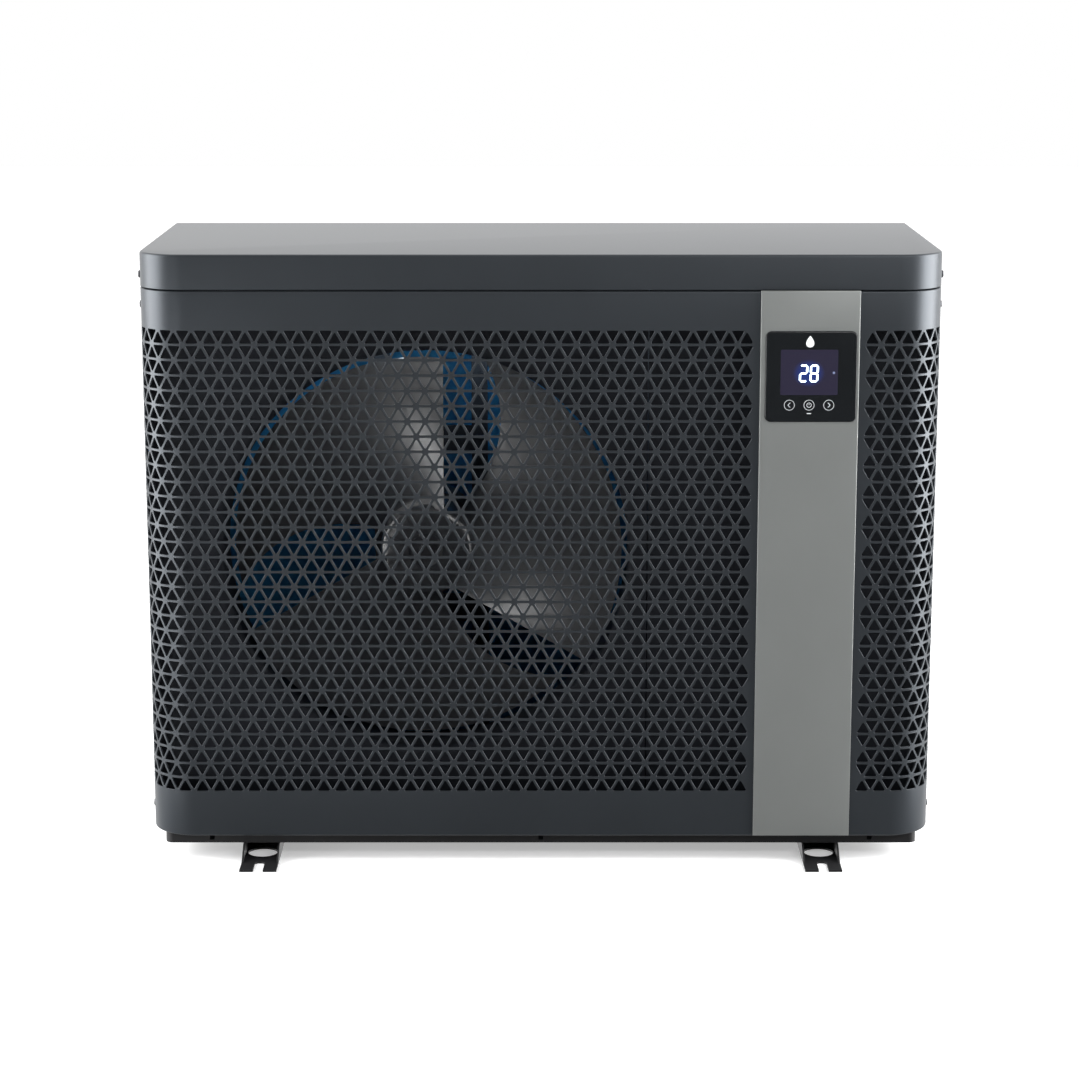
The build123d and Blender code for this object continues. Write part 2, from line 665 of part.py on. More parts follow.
# ---- fan ----
def shroud_plate():
    """Upright deck with the bell-mouthed fan ring."""
    plate = block(SHROUD_X0, PARTITION_X0 - FOLD_GAP, SHROUD_Y, SHROUD_Y + SHEET, PAN_FLOOR_Z, INSIDE_TOP)
    plate += block(-DECK_END_X, SHROUD_X0, SHROUD_Y, SHROUD_Y + SHEET, PAN_WALL_TOP + 1, INSIDE_TOP)
    plate -= rod_y(FAN_X, FAN_Z, RING_R + LIP_R, SHROUD_Y - 1, SHROUD_Y + SHEET + 1)
    inner = RING_R
    outer = RING_R + RING_WALL
    lip = inner + LIP_R
    profile = Curve() + [
        Line((inner, RING_BACK_Y), (inner, SHROUD_Y + LIP_R)),
        CenterArc((lip, SHROUD_Y + LIP_R), LIP_R, 180, 90),
        Line((lip, SHROUD_Y), (lip + 1, SHROUD_Y)),
        Line((lip + 1, SHROUD_Y), (lip + 1, SHROUD_Y + RING_WALL)),
        Line((lip + 1, SHROUD_Y + RING_WALL), (lip, SHROUD_Y + RING_WALL)),
        CenterArc((lip, SHROUD_Y + LIP_R), LIP_R - RING_WALL, 270, -90),
        Line((outer, SHROUD_Y + LIP_R), (outer, RING_BACK_Y)),
        Line((outer, RING_BACK_Y), (inner, RING_BACK_Y)),
    ]
    ring = revolve(make_face(profile), axis=Axis.Y)
    return plate + Pos(FAN_X, 0, FAN_Z) * ring


def curved_edge(radius):
    """Angle of the blade's rear edge, clockwise from vertical, as a parabola through three radii."""
    middle_r = (BLADE_ROOT_R + BLADE_TIP_R) / 2
    t = (radius - middle_r) / (BLADE_TIP_R - middle_r)
    slope = (CURVED_EDGE_TIP_DEG - CURVED_EDGE_ROOT_DEG) / 2
    bulge = (CURVED_EDGE_TIP_DEG + CURVED_EDGE_ROOT_DEG) / 2 - CURVED_EDGE_MID_DEG
    return CURVED_EDGE_MID_DEG + slope * t + bulge * t * t


def blade():
    """One blade: a twisted sheet from its curved rear edge round to its straight front edge."""
    radial_steps = 7
    chord_steps = 9
    camber = 10.0
    rows = []
    for i in range(radial_steps):
        radius = BLADE_ROOT_R + (BLADE_TIP_R - BLADE_ROOT_R) * i / (radial_steps - 1)
        start = curved_edge(radius)
        end = 360.0 / BLADES + math.degrees(math.asin(STRAIGHT_EDGE_OFFSET / radius))
        row = []
        for j in range(chord_steps):
            t = j / (chord_steps - 1)
            angle = math.radians(start + (end - start) * t)
            y = BLADE_FRONT_Y + BLADE_DEPTH * (1 - t) + camber * math.sin(math.pi * t)
            row.append(Vector(radius * math.sin(angle), y, radius * math.cos(angle)))
        rows.append(row)
    return Solid.thicken(Face.make_surface_from_array_of_points(rows), BLADE_T)


def fan_impeller():
    hub = rod_y(0, 0, HUB_R, HUB_FRONT_Y, HUB_BACK_Y)
    hub = fillet(hub.edges().sort_by(Axis.Y)[0], HUB_EDGE_R)
    hub -= rod_y(0, 0, HUB_R - HUB_WALL, HUB_FRONT_Y + HUB_FACE_T, HUB_BACK_Y + 1)
    hub += rod_y(0, 0, HUB_BOSS_R, HUB_FRONT_Y + 1, HUB_BACK_Y)
    first = blade() - rod_y(0, 0, HUB_R - HUB_WALL / 2, BLADE_FRONT_Y - 20, HUB_BACK_Y + 20)
    for index in range(BLADES):
        hub += Rot(0, index * 360.0 / BLADES, 0) * first
    hub -= rod_y(0, 0, SHAFT_R, HUB_FRONT_Y - 1, HUB_BACK_Y + 1)
    return Pos(FAN_X, 0, FAN_Z) * hub


def motor_shaft():
    return rod_y(FAN_X, FAN_Z, SHAFT_R, HUB_FRONT_Y, SHAFT_END_Y)


def hub_nut():
    nut = extrude(RegularPolygon(HUB_NUT_R, 6), HUB_NUT_L)
    return Pos(FAN_X, HUB_FRONT_Y, FAN_Z) * Rot(90, 0, 0) * nut


def fan_motor():
    """Finned can motor; its shaft bore runs in with a small running gap."""
    cover_y = MOTOR_BACK_Y - MOTOR_COVER_L
    body = rod_y(FAN_X, FAN_Z, MOTOR_R, MOTOR_FRONT_Y + MOTOR_BOSS_L, cover_y)
    boss = rod_y(FAN_X, FAN_Z, MOTOR_BOSS_R, MOTOR_FRONT_Y, MOTOR_FRONT_Y + MOTOR_BOSS_L)
    cover = rod_y(FAN_X, FAN_Z, MOTOR_R - MOTOR_COVER_L, cover_y, MOTOR_BACK_Y)
    lug_x = RAIL_X_OFFSET + MOTOR_RAIL_W / 2
    lugs = block(FAN_X - lug_x, FAN_X + lug_x, cover_y, MOTOR_BACK_Y,
                 FAN_Z - MOTOR_LUG_HALF_H, FAN_Z + MOTOR_LUG_HALF_H)
    bore = rod_y(FAN_X, FAN_Z, SHAFT_R + RUNNING_GAP, MOTOR_FRONT_Y - 1, SHAFT_END_Y + 1)
    return body + boss + cover + lugs - bore


def motor_screws():
    offset = RAIL_X_OFFSET + 1
    return [screw((0, -1, 0), FAN_X + sx * offset, MOTOR_BACK_Y - MOTOR_COVER_L, FAN_Z + sz * MOTOR_SCREW_UP)
            for sx in (-1, 1) for sz in (-1, 1)]


def motor_bracket():
    """Two channel posts from the pan to the cabinet top, joined by two cross plates."""
    back = MOTOR_BACK_Y + MOTOR_RAIL_D
    web_y = MOTOR_BACK_Y + MOTOR_RAIL_T
    half = MOTOR_RAIL_W / 2
    inner = half - MOTOR_RAIL_T
    posts = []
    for x in (FAN_X - RAIL_X_OFFSET, FAN_X + RAIL_X_OFFSET):
        post = block(x - half, x + half, MOTOR_BACK_Y, back, PAN_FLOOR_Z, INSIDE_TOP)
        posts.append(post - block(x - inner, x + inner, web_y, back + 1, PAN_FLOOR_Z - 1, INSIDE_TOP + 1))
    bracket = posts[0] + posts[1]
    for z in (FAN_Z - MOTOR_PLATE_UP, FAN_Z + MOTOR_PLATE_UP):
        bracket += block(FAN_X - RAIL_X_OFFSET, FAN_X + RAIL_X_OFFSET, MOTOR_BACK_Y, web_y,
                         z - MOTOR_PLATE_HALF_H, z + MOTOR_PLATE_HALF_H)
    return bracket


# ---- evaporator ----
def partition():
    """Wall between the air and the technical compartment, folded at the front to close the latter."""
    plate = block(PARTITION_X0, PARTITION_X1, SHROUD_Y, COIL_Y1 - COIL_T - 1, PAN_FLOOR_Z, INSIDE_TOP)
    plate += block(PARTITION_X0, -SHROUD_X0, SHROUD_Y, SHROUD_Y + SHEET, PAN_FLOOR_Z, INSIDE_TOP)
    plate += block(-SHROUD_X0, DECK_END_X, SHROUD_Y, SHROUD_Y + SHEET, PAN_WALL_TOP + 1, INSIDE_TOP)
    return plate - block(PARTITION_X0 - 1, PARTITION_X1 + 1, SINK_Y0, SINK_Y1, SINK_Z0, SINK_Z1)


def evaporator_fins():
    """Fin block bent to an L round the rear left corner, drawn solid."""
    outside = block(COIL_X0, COIL_X1, COIL_Y0, COIL_Y1, COIL_Z0, COIL_Z1)
    inside = block(COIL_X0 + COIL_T, COIL_X1 + 1, COIL_Y0 - 1, COIL_Y1 - COIL_T, COIL_Z0 - 1, COIL_Z1 + 1)
    return round_rear_left(outside, COIL_BEND_R) - round_rear_left(inside, COIL_BEND_R - COIL_T)


def round_rear_left(solid, radius):
    upright = solid.edges().filter_by(Axis.Z).group_by(Axis.X)[0]
    return fillet(upright.sort_by(Axis.Y)[-1], radius)


def coil_end_plates():
    right = block(COIL_X1, COIL_X1 + SHEET, COIL_Y1 - COIL_T, COIL_Y1, COIL_Z0, COIL_Z1)
    front = block(COIL_X0, COIL_X0 + COIL_T, COIL_Y0 - SHEET, COIL_Y0, COIL_Z0, COIL_Z1)
    return right, front


def coil_return_bends():
    """Hairpin ends of the coil tubes, in two columns on the right end plate."""
    step = (COIL_Z1 - COIL_Z0) / BEND_ROWS
    x0 = COIL_X1 + SHEET
    bends = []
    reach = BEND_TUBE_R + 4
    for column_y in (COIL_Y1 - COIL_T * 0.25, COIL_Y1 - COIL_T * 0.75):
        for row in range(BEND_ROWS):
            z = COIL_Z0 + (row + 0.5) * step
            ring = Pos(x0, column_y, z) * Rot(90, 0, 0) * Torus(BEND_R, BEND_TUBE_R)
            right_half = block(x0, x0 + 2 * BEND_R, column_y - reach, column_y + reach,
                               z - 2 * BEND_R, z + 2 * BEND_R)
            bends.append(ring & right_half)
    return bends


def coil_headers():
    low = COIL_Z0 + HEADER_MARGIN
    high = COIL_Z1 - HEADER_MARGIN
    gas = rod_z(HEADER_X, GAS_HEADER_Y, GAS_HEADER_R, low, high)
    liquid = rod_z(HEADER_X, LIQUID_HEADER_Y, LIQUID_HEADER_R, low, high)
    return gas, liquid


# ---- refrigerant circuit ----
def compressor():
    plate_top = COMP_Z0 + COMP_PLATE_T
    shell = rod_z(COMP_X, COMP_Y, COMP_R, plate_top, COMP_Z1)
    shell = fillet(shell.edges().sort_by(Axis.Z)[-1], COMP_DOME_R)
    plate = rod_z(COMP_X, COMP_Y, COMP_R, COMP_Z0, plate_top)
    for x, y in compressor_feet():
        plate += rod_z(x, y, COMP_FOOT_R, COMP_Z0, plate_top)
        plate -= rod_z(x, y, STUD_R + 0.5, COMP_Z0 - 1, plate_top + 1)
    return shell + plate


def compressor_feet():
    angles = [math.radians(30 + index * 360.0 / COMP_FEET) for index in range(COMP_FEET)]
    return [(COMP_X + COMP_FOOT_REACH * math.cos(a), COMP_Y + COMP_FOOT_REACH * math.sin(a)) for a in angles]


def compressor_mounts():
    grommets = []
    studs = []
    for x, y in compressor_feet():
        grommets.append(tube_z(x, y, GROMMET_R, STUD_R + 0.2, PAN_FLOOR_Z, COMP_Z0))
        nut = Pos(x, y, COMP_Z0 + COMP_PLATE_T) * extrude(RegularPolygon(STUD_R * 1.9, 6), STUD_R * 1.5)
        studs.append(nut + rod_z(x, y, STUD_R, PAN_FLOOR_Z, COMP_Z0 + COMP_PLATE_T + 2 * STUD_R))
    return grommets, studs


def terminal_cover():
    """Moulded box over the compressor's electrical terminals, its back following the shell."""
    face_y = COMP_Y - COMP_R
    cover = block(COMP_X - TERMINAL_COVER_HALF_W, COMP_X + TERMINAL_COVER_HALF_W, face_y - 18, face_y + 14,
                  TERMINAL_COVER_Z0, TERMINAL_COVER_Z1)
    return cover - rod_z(COMP_X, COMP_Y, COMP_R + RUNNING_GAP, COMP_Z0, COMP_Z1 - COMP_DOME_R)


def accumulator():
    can = rod_z(ACC_X, COMP_Y, ACC_R, ACC_Z0, ACC_Z1)
    return fillet(can.edges().filter_by(GeomType.CIRCLE), ACC_R * 0.45)


def accumulator_clamp():
    """Strap welded to the compressor that holds the accumulator."""
    bridge = block(ACC_X, COMP_X, COMP_Y - CLAMP_HALF_W, COMP_Y + CLAMP_HALF_W, CLAMP_Z0, CLAMP_Z1)
    for x, radius in ((ACC_X, ACC_R), (COMP_X, COMP_R)):
        bridge -= rod_z(x, COMP_Y, radius, CLAMP_Z0 - 1, CLAMP_Z1 + 1)
    return bridge


def four_way_valve():
    body = rod_x(VALVE_Y, VALVE_Z, VALVE_R, COMP_X - VALVE_HALF_L, COMP_X + VALVE_HALF_L)
    body += rod_z(COMP_X, VALVE_Y, PIPE_R + 1, VALVE_Z, VALVE_TOP_Z)
    for offset in (-VALVE_STUB, 0, VALVE_STUB):
        body += rod_z(COMP_X + offset, VALVE_Y, PIPE_R + 1, VALVE_STUB_Z, VALVE_Z)
    pilot = rod_x(PILOT_Y, VALVE_Z, PILOT_R, COMP_X - PILOT_L, PILOT_X1)
    bridge = block(COMP_X - PILOT_R, COMP_X + PILOT_R, PILOT_Y, VALVE_Y,
                   VALVE_Z - PILOT_BRIDGE_H / 2, VALVE_Z + PILOT_BRIDGE_H / 2)
    return body + pilot + bridge


def valve_solenoid():
    half = 2 * PILOT_R
    coil = block(PILOT_X1, PILOT_X1 + SOLENOID_L, PILOT_Y - half, PILOT_Y + half - SOLENOID_CUT,
                 VALVE_Z - half, VALVE_Z + half)
    return fillet(coil.edges().filter_by(Axis.X), 5.0)


def refrigerant_lines():
    """Discharge, suction, evaporator gas, exchanger gas and liquid lines."""
    left_x = COMP_X - VALVE_STUB
    right_x = COMP_X + VALVE_STUB
    discharge = pipe([(COMP_X, COMP_Y, COMP_Z1), (COMP_X, COMP_Y, DISCHARGE_Z),
                      (COMP_X, VALVE_Y, DISCHARGE_Z), (COMP_X, VALVE_Y, VALVE_TOP_Z)])
    suction = pipe([(COMP_X, VALVE_Y, VALVE_STUB_Z), (COMP_X, VALVE_Y, SUCTION_Z),
                    (ACC_X, VALVE_Y, SUCTION_Z), (ACC_X, COMP_Y, SUCTION_Z), (ACC_X, COMP_Y, ACC_Z1)])
    gas = pipe([(left_x, VALVE_Y, VALVE_STUB_Z), (left_x, VALVE_Y, GAS_Z), (left_x, GAS_HEADER_Y, GAS_Z),
                (HEADER_X + GAS_HEADER_R, GAS_HEADER_Y, GAS_Z)])
    hot = pipe([(right_x, VALVE_Y, VALVE_STUB_Z), (right_x, VALVE_Y, GAS_Z), (right_x, EXCH_Y, GAS_Z),
                (EXCH_X - EXCH_R, EXCH_Y, GAS_Z)])
    to_drier = rod_x(DRIER_Y, LIQUID_Z, LIQUID_R, DRIER_X1, EXCH_X - EXCH_R)
    to_valve = rod_x(DRIER_Y, LIQUID_Z, LIQUID_R, EXV_X1, DRIER_X0)
    liquid = pipe([(EXV_X0, DRIER_Y, LIQUID_Z), (HEADER_X, DRIER_Y, LIQUID_Z),
                   (HEADER_X, LIQUID_HEADER_Y - LIQUID_HEADER_R, LIQUID_Z)], radius=LIQUID_R)
    return discharge, suction, gas, hot, to_drier, to_valve, liquid


def filter_drier():
    can = rod_x(DRIER_Y, LIQUID_Z, DRIER_R, DRIER_X0, DRIER_X1)
    return fillet(can.edges().filter_by(GeomType.CIRCLE), DRIER_R / 2)


def expansion_valve():
    body = rod_x(DRIER_Y, LIQUID_Z, EXV_R, EXV_X0, EXV_X1)
    return body + rod_z((EXV_X0 + EXV_X1) / 2, DRIER_Y, EXV_STEM_R, LIQUID_Z, EXV_TOP_Z)


def expansion_coil():
    return tube_z((EXV_X0 + EXV_X1) / 2, DRIER_Y, EXV_COIL_R, EXV_STEM_R + RUNNING_GAP, EXV_COIL_Z, EXV_TOP_Z)


# ---- water circuit ----
def exchanger_shell():
    shell = tube_z(EXCH_X, EXCH_Y, EXCH_R, EXCH_R - EXCH_WALL, EXCH_Z0, EXCH_Z1)
    for z in (INLET_Z, OUTLET_Z):
        shell -= rod_y(EXCH_X, z, PIPE_IN_R, EXCH_Y, EXCH_Y + EXCH_R + 1)
    return shell


def exchanger_caps():
    top = rod_z(EXCH_X, EXCH_Y, EXCH_R + 5, EXCH_Z1, EXCH_Z1 + EXCH_CAP_T)
    bottom = rod_z(EXCH_X, EXCH_Y, EXCH_R + 5, EXCH_Z0 - EXCH_CAP_T, EXCH_Z0)
    foot = tube_z(EXCH_X, EXCH_Y, EXCH_R - 10, EXCH_R - 10 - EXCH_WALL, PAN_FLOOR_Z, EXCH_Z0 - EXCH_CAP_T)
    return top, bottom + foot


def titanium_coil():
    """Helical heat exchange tube inside the shell, drawn as its stack of turns."""
    first_z = INLET_Z + 2 * PIPE_OUT_R
    step = (OUTLET_Z - first_z) / TITANIUM_TURNS
    return [Pos(EXCH_X, EXCH_Y, first_z + step * turn) * Torus(TITANIUM_TURN_R, TITANIUM_TUBE_R)
            for turn in range(TITANIUM_TURNS)]


def water_pipe(z):
    """Stub from the shell through the rear panel, ending in the union's threaded collar."""
    wall_y = EXCH_Y + EXCH_R
    stub = rod_y(EXCH_X, z, PIPE_OUT_R, wall_y - 12, HALF_D)
    stub -= rod_z(EXCH_X, EXCH_Y, EXCH_R, EXCH_Z0, EXCH_Z1)
    collar = rod_y(EXCH_X, z, COLLAR_R, HALF_D, COLLAR_Y1)
    return stub + collar - rod_y(EXCH_X, z, PIPE_IN_R, wall_y - 30, COLLAR_Y1 + 1)


def union_seal(z):
    return tube_y(EXCH_X, z, PIPE_OUT_R + 3, PIPE_IN_R + 1, COLLAR_Y1, COLLAR_Y1 + SEAL_T)


def union_tail(z):
    """Tailpiece: flange held by the nut, and a glue socket for the water pipe."""
    flange_y = COLLAR_Y1 + SEAL_T
    tail = rod_y(EXCH_X, z, TAIL_FLANGE_R, flange_y, flange_y + TAIL_FLANGE_T)
    tail += rod_y(EXCH_X, z, TAIL_R, flange_y, RAIL_END_Y)
    tail -= rod_y(EXCH_X, z, PIPE_IN_R, flange_y - 1, RAIL_END_Y)
    return tail - rod_y(EXCH_X, z, SOCKET_R, RAIL_END_Y - SOCKET_L, RAIL_END_Y + 1)


def union_nut(z):
    nut = rod_y(EXCH_X, z, NUT_R - NUT_RIB_R / 2, NUT_Y0, NUT_Y1)
    for index in range(NUT_RIBS):
        angle = 2 * math.pi * index / NUT_RIBS
        reach = NUT_R - NUT_RIB_R
        nut += rod_y(EXCH_X + reach * math.cos(angle), z + reach * math.sin(angle), NUT_RIB_R, NUT_Y0, NUT_Y1)
    nut -= rod_y(EXCH_X, z, NUT_BORE_R, NUT_Y0 - 1, NUT_LIP_Y)
    return nut - rod_y(EXCH_X, z, TAIL_R + RUNNING_GAP, NUT_Y0, NUT_Y1 + 1)


def flow_switch():
    """Switch head clamped on the inlet stub."""
    seat = INLET_Z + PIPE_OUT_R
    body = rod_z(EXCH_X, PADDLE_Y, SWITCH_STEM_R, seat, seat + SWITCH_HEAD_UP)
    return body + block(EXCH_X - SWITCH_HALF_X, EXCH_X + SWITCH_HALF_X, PADDLE_Y - SWITCH_HALF_Y,
                        PADDLE_Y + SWITCH_HALF_Y, seat + SWITCH_HEAD_UP, seat + SWITCH_TOP_UP)


def flow_paddle():
    """Paddle that hangs across the inlet bore from a round pivot."""
    pivot_z = INLET_Z + PADDLE_PIVOT_UP
    half_w = PADDLE_STEM_HALF_W
    front = PADDLE_Y - PADDLE_HALF_T
    back = PADDLE_Y + PADDLE_HALF_T
    stem = block(EXCH_X - half_w, EXCH_X + half_w, front, back, INLET_Z, pivot_z)
    pivot = rod_x(PADDLE_Y, pivot_z, PIVOT_R, EXCH_X - half_w, EXCH_X + half_w)
    return stem + pivot + rod_y(EXCH_X, INLET_Z - 3, PADDLE_R, front, back)


# ---- electrical ----
def electrical_box():
    tray = block(EBOX_X0, EBOX_X1, EBOX_Y0, EBOX_Y1, EBOX_Z0, EBOX_Z1)
    return tray - block(EBOX_X0 + SHEET, EBOX_X1 - SHEET, EBOX_Y0 + SHEET, EBOX_Y1 - SHEET,
                        EBOX_Z0 + SHEET, EBOX_Z1 + 1)


def electrical_cover():
    return block(EBOX_X0, EBOX_X1, EBOX_Y0, EBOX_Y1, EBOX_Z1, EBOX_Z1 + SHEET)


def box_brackets():
    """Two angles that hang the electrical box on the partition and the right panel."""
    bar_t = 2.0
    bar_w = 20.0
    front = EBOX_Y0 + 30
    ledge_z = EBOX_Z0 - bar_t
    ledge = block(PARTITION_X1, EBOX_X0, front, EBOX_Y1 - 30, ledge_z, EBOX_Z0)
    return ledge + block(PARTITION_X1, HALF_W - SHEET, front, front + bar_w, ledge_z - bar_t, ledge_z)


def inverter_board():
    """Board with its capacitors, on four stand-offs."""
    z0 = EBOX_Z0 + BOARD_UP
    top = z0 + BOARD_T
    standoff_in = BOARD_MARGIN + 10
    board = block(EBOX_X0 + BOARD_MARGIN, EBOX_X1 - BOARD_MARGIN, EBOX_Y0 + BOARD_MARGIN,
                  EBOX_Y1 - BOARD_MARGIN, z0, top)
    for x, height in CAPACITORS:
        board += rod_z(x, CAPACITOR_Y, CAPACITOR_R, top, top + height)
    for x in (EBOX_X0 + standoff_in, EBOX_X1 - standoff_in):
        for y in (EBOX_Y0 + standoff_in, EBOX_Y1 - standoff_in):
            board += rod_z(x, y, STANDOFF_R, EBOX_Z0 + SHEET, z0)
    return board


def heat_sink():
    base_x = PARTITION_X0 - SINK_BASE_T
    sink = block(base_x, EBOX_X0, SINK_Y0, SINK_Y1, SINK_Z0, SINK_Z1)
    pitch = (SINK_Y1 - SINK_Y0 - SINK_FIN_T) / (SINK_FINS - 1)
    for fin in range(SINK_FINS):
        y = SINK_Y0 + fin * pitch
        sink += block(SINK_X0, base_x, y, y + SINK_FIN_T, SINK_Z0, SINK_Z1)
    return sink


def terminal_block():
    back = EBOX_Y1 - SHEET
    front = back - TERMINAL_DEPTH
    middle_z = EBOX_Z0 + 2 * TERMINAL_DEPTH
    body = block(TERMINAL_X0, TERMINAL_X1, front, back, middle_z - TERMINAL_PITCH, middle_z + TERMINAL_PITCH)
    for index in range(int((TERMINAL_X1 - TERMINAL_X0) / TERMINAL_PITCH)):
        x = TERMINAL_X0 + (index + 1) * TERMINAL_PITCH
        body -= rod_y(x, middle_z, TERMINAL_HOLE_R, front - 1, front + TERMINAL_DEPTH / 2)
    return body


def cable_glands():
    """Glands in the rear panel, each with an open cable bore."""
    glands = []
    gland_hex = RegularPolygon(GLAND_R + 2, 6)
    for z in GLAND_ZS:
        inner_y = PANEL_BACK_Y - GLAND_INSIDE
        gland = rod_y(GLAND_X, z, GLAND_THREAD_R, inner_y, HALF_D)
        gland += Pos(GLAND_X, HALF_D, z) * Rot(-90, 0, 0) * extrude(gland_hex, GLAND_HEX_L)
        gland += rod_y(GLAND_X, z, GLAND_R, HALF_D + GLAND_HEX_L, HALF_D + GLAND_L)
        glands.append(gland - rod_y(GLAND_X, z, GLAND_BORE_R, inner_y - 1, HALF_D + GLAND_L + 1))
    return glands


# ---- write every node ----
def save_cabinet():
    corner = corner_grille()
    grip = side_grip()
    save("front_grille", front_grille())
    save("corner_grille_left", corner)
    save("corner_grille_right", mirror_x(corner))
    save("control_strip", control_strip())
    save("hmi_housing", hmi_housing())
    save("hmi_glass", hmi_glass())
    save("lcd_module", lcd_module())
    save("hmi_board", hmi_board())
    save("lid", lid())
    save("left_side_panel", left_side_panel())
    save("left_coil_guard", left_coil_guard())
    save("right_side_panel", right_side_panel())
    save("access_cover", access_cover())
    save("side_grip_right", grip)
    save("side_grip_left", mirror_x(grip))
    save("rear_post", rear_post())
    save("rear_coil_guard", rear_coil_guard())
    save("rear_panel", rear_panel())
    save("screws", *lid_screws(), *panel_screws(), *motor_screws())


def save_base():
    rail = foot_rail()
    save("base_pan", base_pan())
    save("drain_spigot", drain_spigot())
    save("foot_rail_right", rail)
    save("foot_rail_left", mirror_x(rail))
    save("foot_fasteners", *foot_fasteners())


def save_fan():
    save("shroud_plate", shroud_plate())
    save("fan_impeller", fan_impeller())
    save("motor_shaft", motor_shaft())
    save("hub_nut", hub_nut())
    save("fan_motor", fan_motor())
    save("motor_bracket", motor_bracket())
    save("partition", partition())


def save_refrigerant_circuit():
    grommets, studs = compressor_mounts()
    save("evaporator_fins", evaporator_fins())
    save("coil_end_plates", *coil_end_plates())
    save("coil_return_bends", *coil_return_bends())
    save("coil_headers", *coil_headers())
    save("compressor", compressor())
    save("compressor_grommets", *grommets)
    save("compressor_studs", *studs)
    save("terminal_cover", terminal_cover())
    save("accumulator", accumulator(), accumulator_clamp())
    save("four_way_valve", four_way_valve())
    save("valve_coils", valve_solenoid(), expansion_coil())
    save("refrigerant_lines", *refrigerant_lines())
    save("filter_drier", filter_drier())
    save("expansion_valve", expansion_valve())


def save_water_circuit():
    save("exchanger_shell", exchanger_shell())
    save("exchanger_caps", *exchanger_caps())
    save("titanium_coil", *titanium_coil())
    for label, z in (("inlet", INLET_Z), ("outlet", OUTLET_Z)):
        save("water_" + label, water_pipe(z), union_seal(z), union_tail(z))
        save("union_nut_" + label, union_nut(z))
    save("flow_switch", flow_switch())
    save("flow_paddle", flow_paddle())


def save_electrical():
    save("electrical_box", electrical_box(), box_brackets())
    save("electrical_cover", electrical_cover())
    save("inverter_board", inverter_board())
    save("heat_sink", heat_sink())
    save("terminal_block", terminal_block())
    save("cable_glands", *cable_glands())


def main():
    os.makedirs("parts", exist_ok=True)
    save_cabinet()
    save_base()
    save_fan()
    save_refrigerant_circuit()
    save_water_circuit()
    save_electrical()


main()
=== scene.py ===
import json
import math
import bpy
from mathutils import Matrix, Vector


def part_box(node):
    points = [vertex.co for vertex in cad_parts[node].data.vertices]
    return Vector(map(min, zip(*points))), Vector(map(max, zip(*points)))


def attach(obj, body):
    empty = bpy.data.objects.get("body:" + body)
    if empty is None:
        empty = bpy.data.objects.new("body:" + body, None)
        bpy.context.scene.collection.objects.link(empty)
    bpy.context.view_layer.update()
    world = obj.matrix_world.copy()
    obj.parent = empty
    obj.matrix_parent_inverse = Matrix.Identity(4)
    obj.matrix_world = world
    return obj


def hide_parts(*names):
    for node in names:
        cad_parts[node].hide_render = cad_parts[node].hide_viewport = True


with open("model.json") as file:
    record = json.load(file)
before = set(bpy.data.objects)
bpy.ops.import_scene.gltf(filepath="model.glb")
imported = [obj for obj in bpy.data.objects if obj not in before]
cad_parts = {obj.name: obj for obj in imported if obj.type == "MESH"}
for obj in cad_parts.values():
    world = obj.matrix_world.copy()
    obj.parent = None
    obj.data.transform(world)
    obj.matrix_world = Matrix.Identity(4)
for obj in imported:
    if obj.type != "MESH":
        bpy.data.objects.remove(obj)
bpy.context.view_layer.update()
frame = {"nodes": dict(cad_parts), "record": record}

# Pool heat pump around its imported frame: the seamless perforated front, the lid, the control
# strip and head, the fan, the finned coil and the guards are modelled here. Metres.

MM = 0.001

# ---- measures taken from the frame ----
FLAT_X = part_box("front_grille")[1][0]
FRONT_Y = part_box("front_grille")[0][1]
PANEL_Z0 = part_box("front_grille")[0][2]
PANEL_Z1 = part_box("front_grille")[1][2]
HALF_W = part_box("corner_grille_right")[1][0]
CORNER_R = HALF_W - FLAT_X
CORNER_Y = FRONT_Y + CORNER_R
PANEL_END = FLAT_X + CORNER_R * math.pi / 2
LID_Z0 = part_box("lid")[0][2]
LID_Z1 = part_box("lid")[1][2]
BACK_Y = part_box("lid")[1][1]
STRIP_LOW, STRIP_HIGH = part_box("control_strip")
GLASS_LOW, GLASS_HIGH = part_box("hmi_glass")
HEAD_X = (GLASS_LOW[0] + GLASS_HIGH[0]) / 2
HEAD_Z = (GLASS_LOW[2] + GLASS_HIGH[2]) / 2
HEAD_CORNER_R = 8 * MM
LCD_LOW, LCD_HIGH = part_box("lcd_module")
FAN_LOW, FAN_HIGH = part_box("fan_impeller")
SHAFT_LOW, SHAFT_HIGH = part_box("motor_shaft")
FAN_X = (SHAFT_LOW[0] + SHAFT_HIGH[0]) / 2
FAN_Z = (SHAFT_LOW[2] + SHAFT_HIGH[2]) / 2
COIL_LOW, COIL_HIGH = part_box("evaporator_fins")
SHROUD_LOW, SHROUD_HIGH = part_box("shroud_plate")
COIL_BEND_R = 60 * MM
COIL_T = 38 * MM
INK_T = 0.12 * MM
WIRE_R = 1.5 * MM

# ---- front lattice ----
ROW = 20 * MM
ROWS = 31
CELL = 2 * ROW / math.sqrt(3)
LATTICE_TOP = 715.5 * MM
PANEL_T = 2.5 * MM
BAR_HALF = 1.6 * MM
HOLE_R = 1.3 * MM
HOLE_BEVEL = 0.35 * MM
ARC_STEPS = 3
BEND_STEPS = 4
FLAT_CELLS = 20
ARC_CELLS = 4
MAIN_END = 12
RIGHT_START = 18


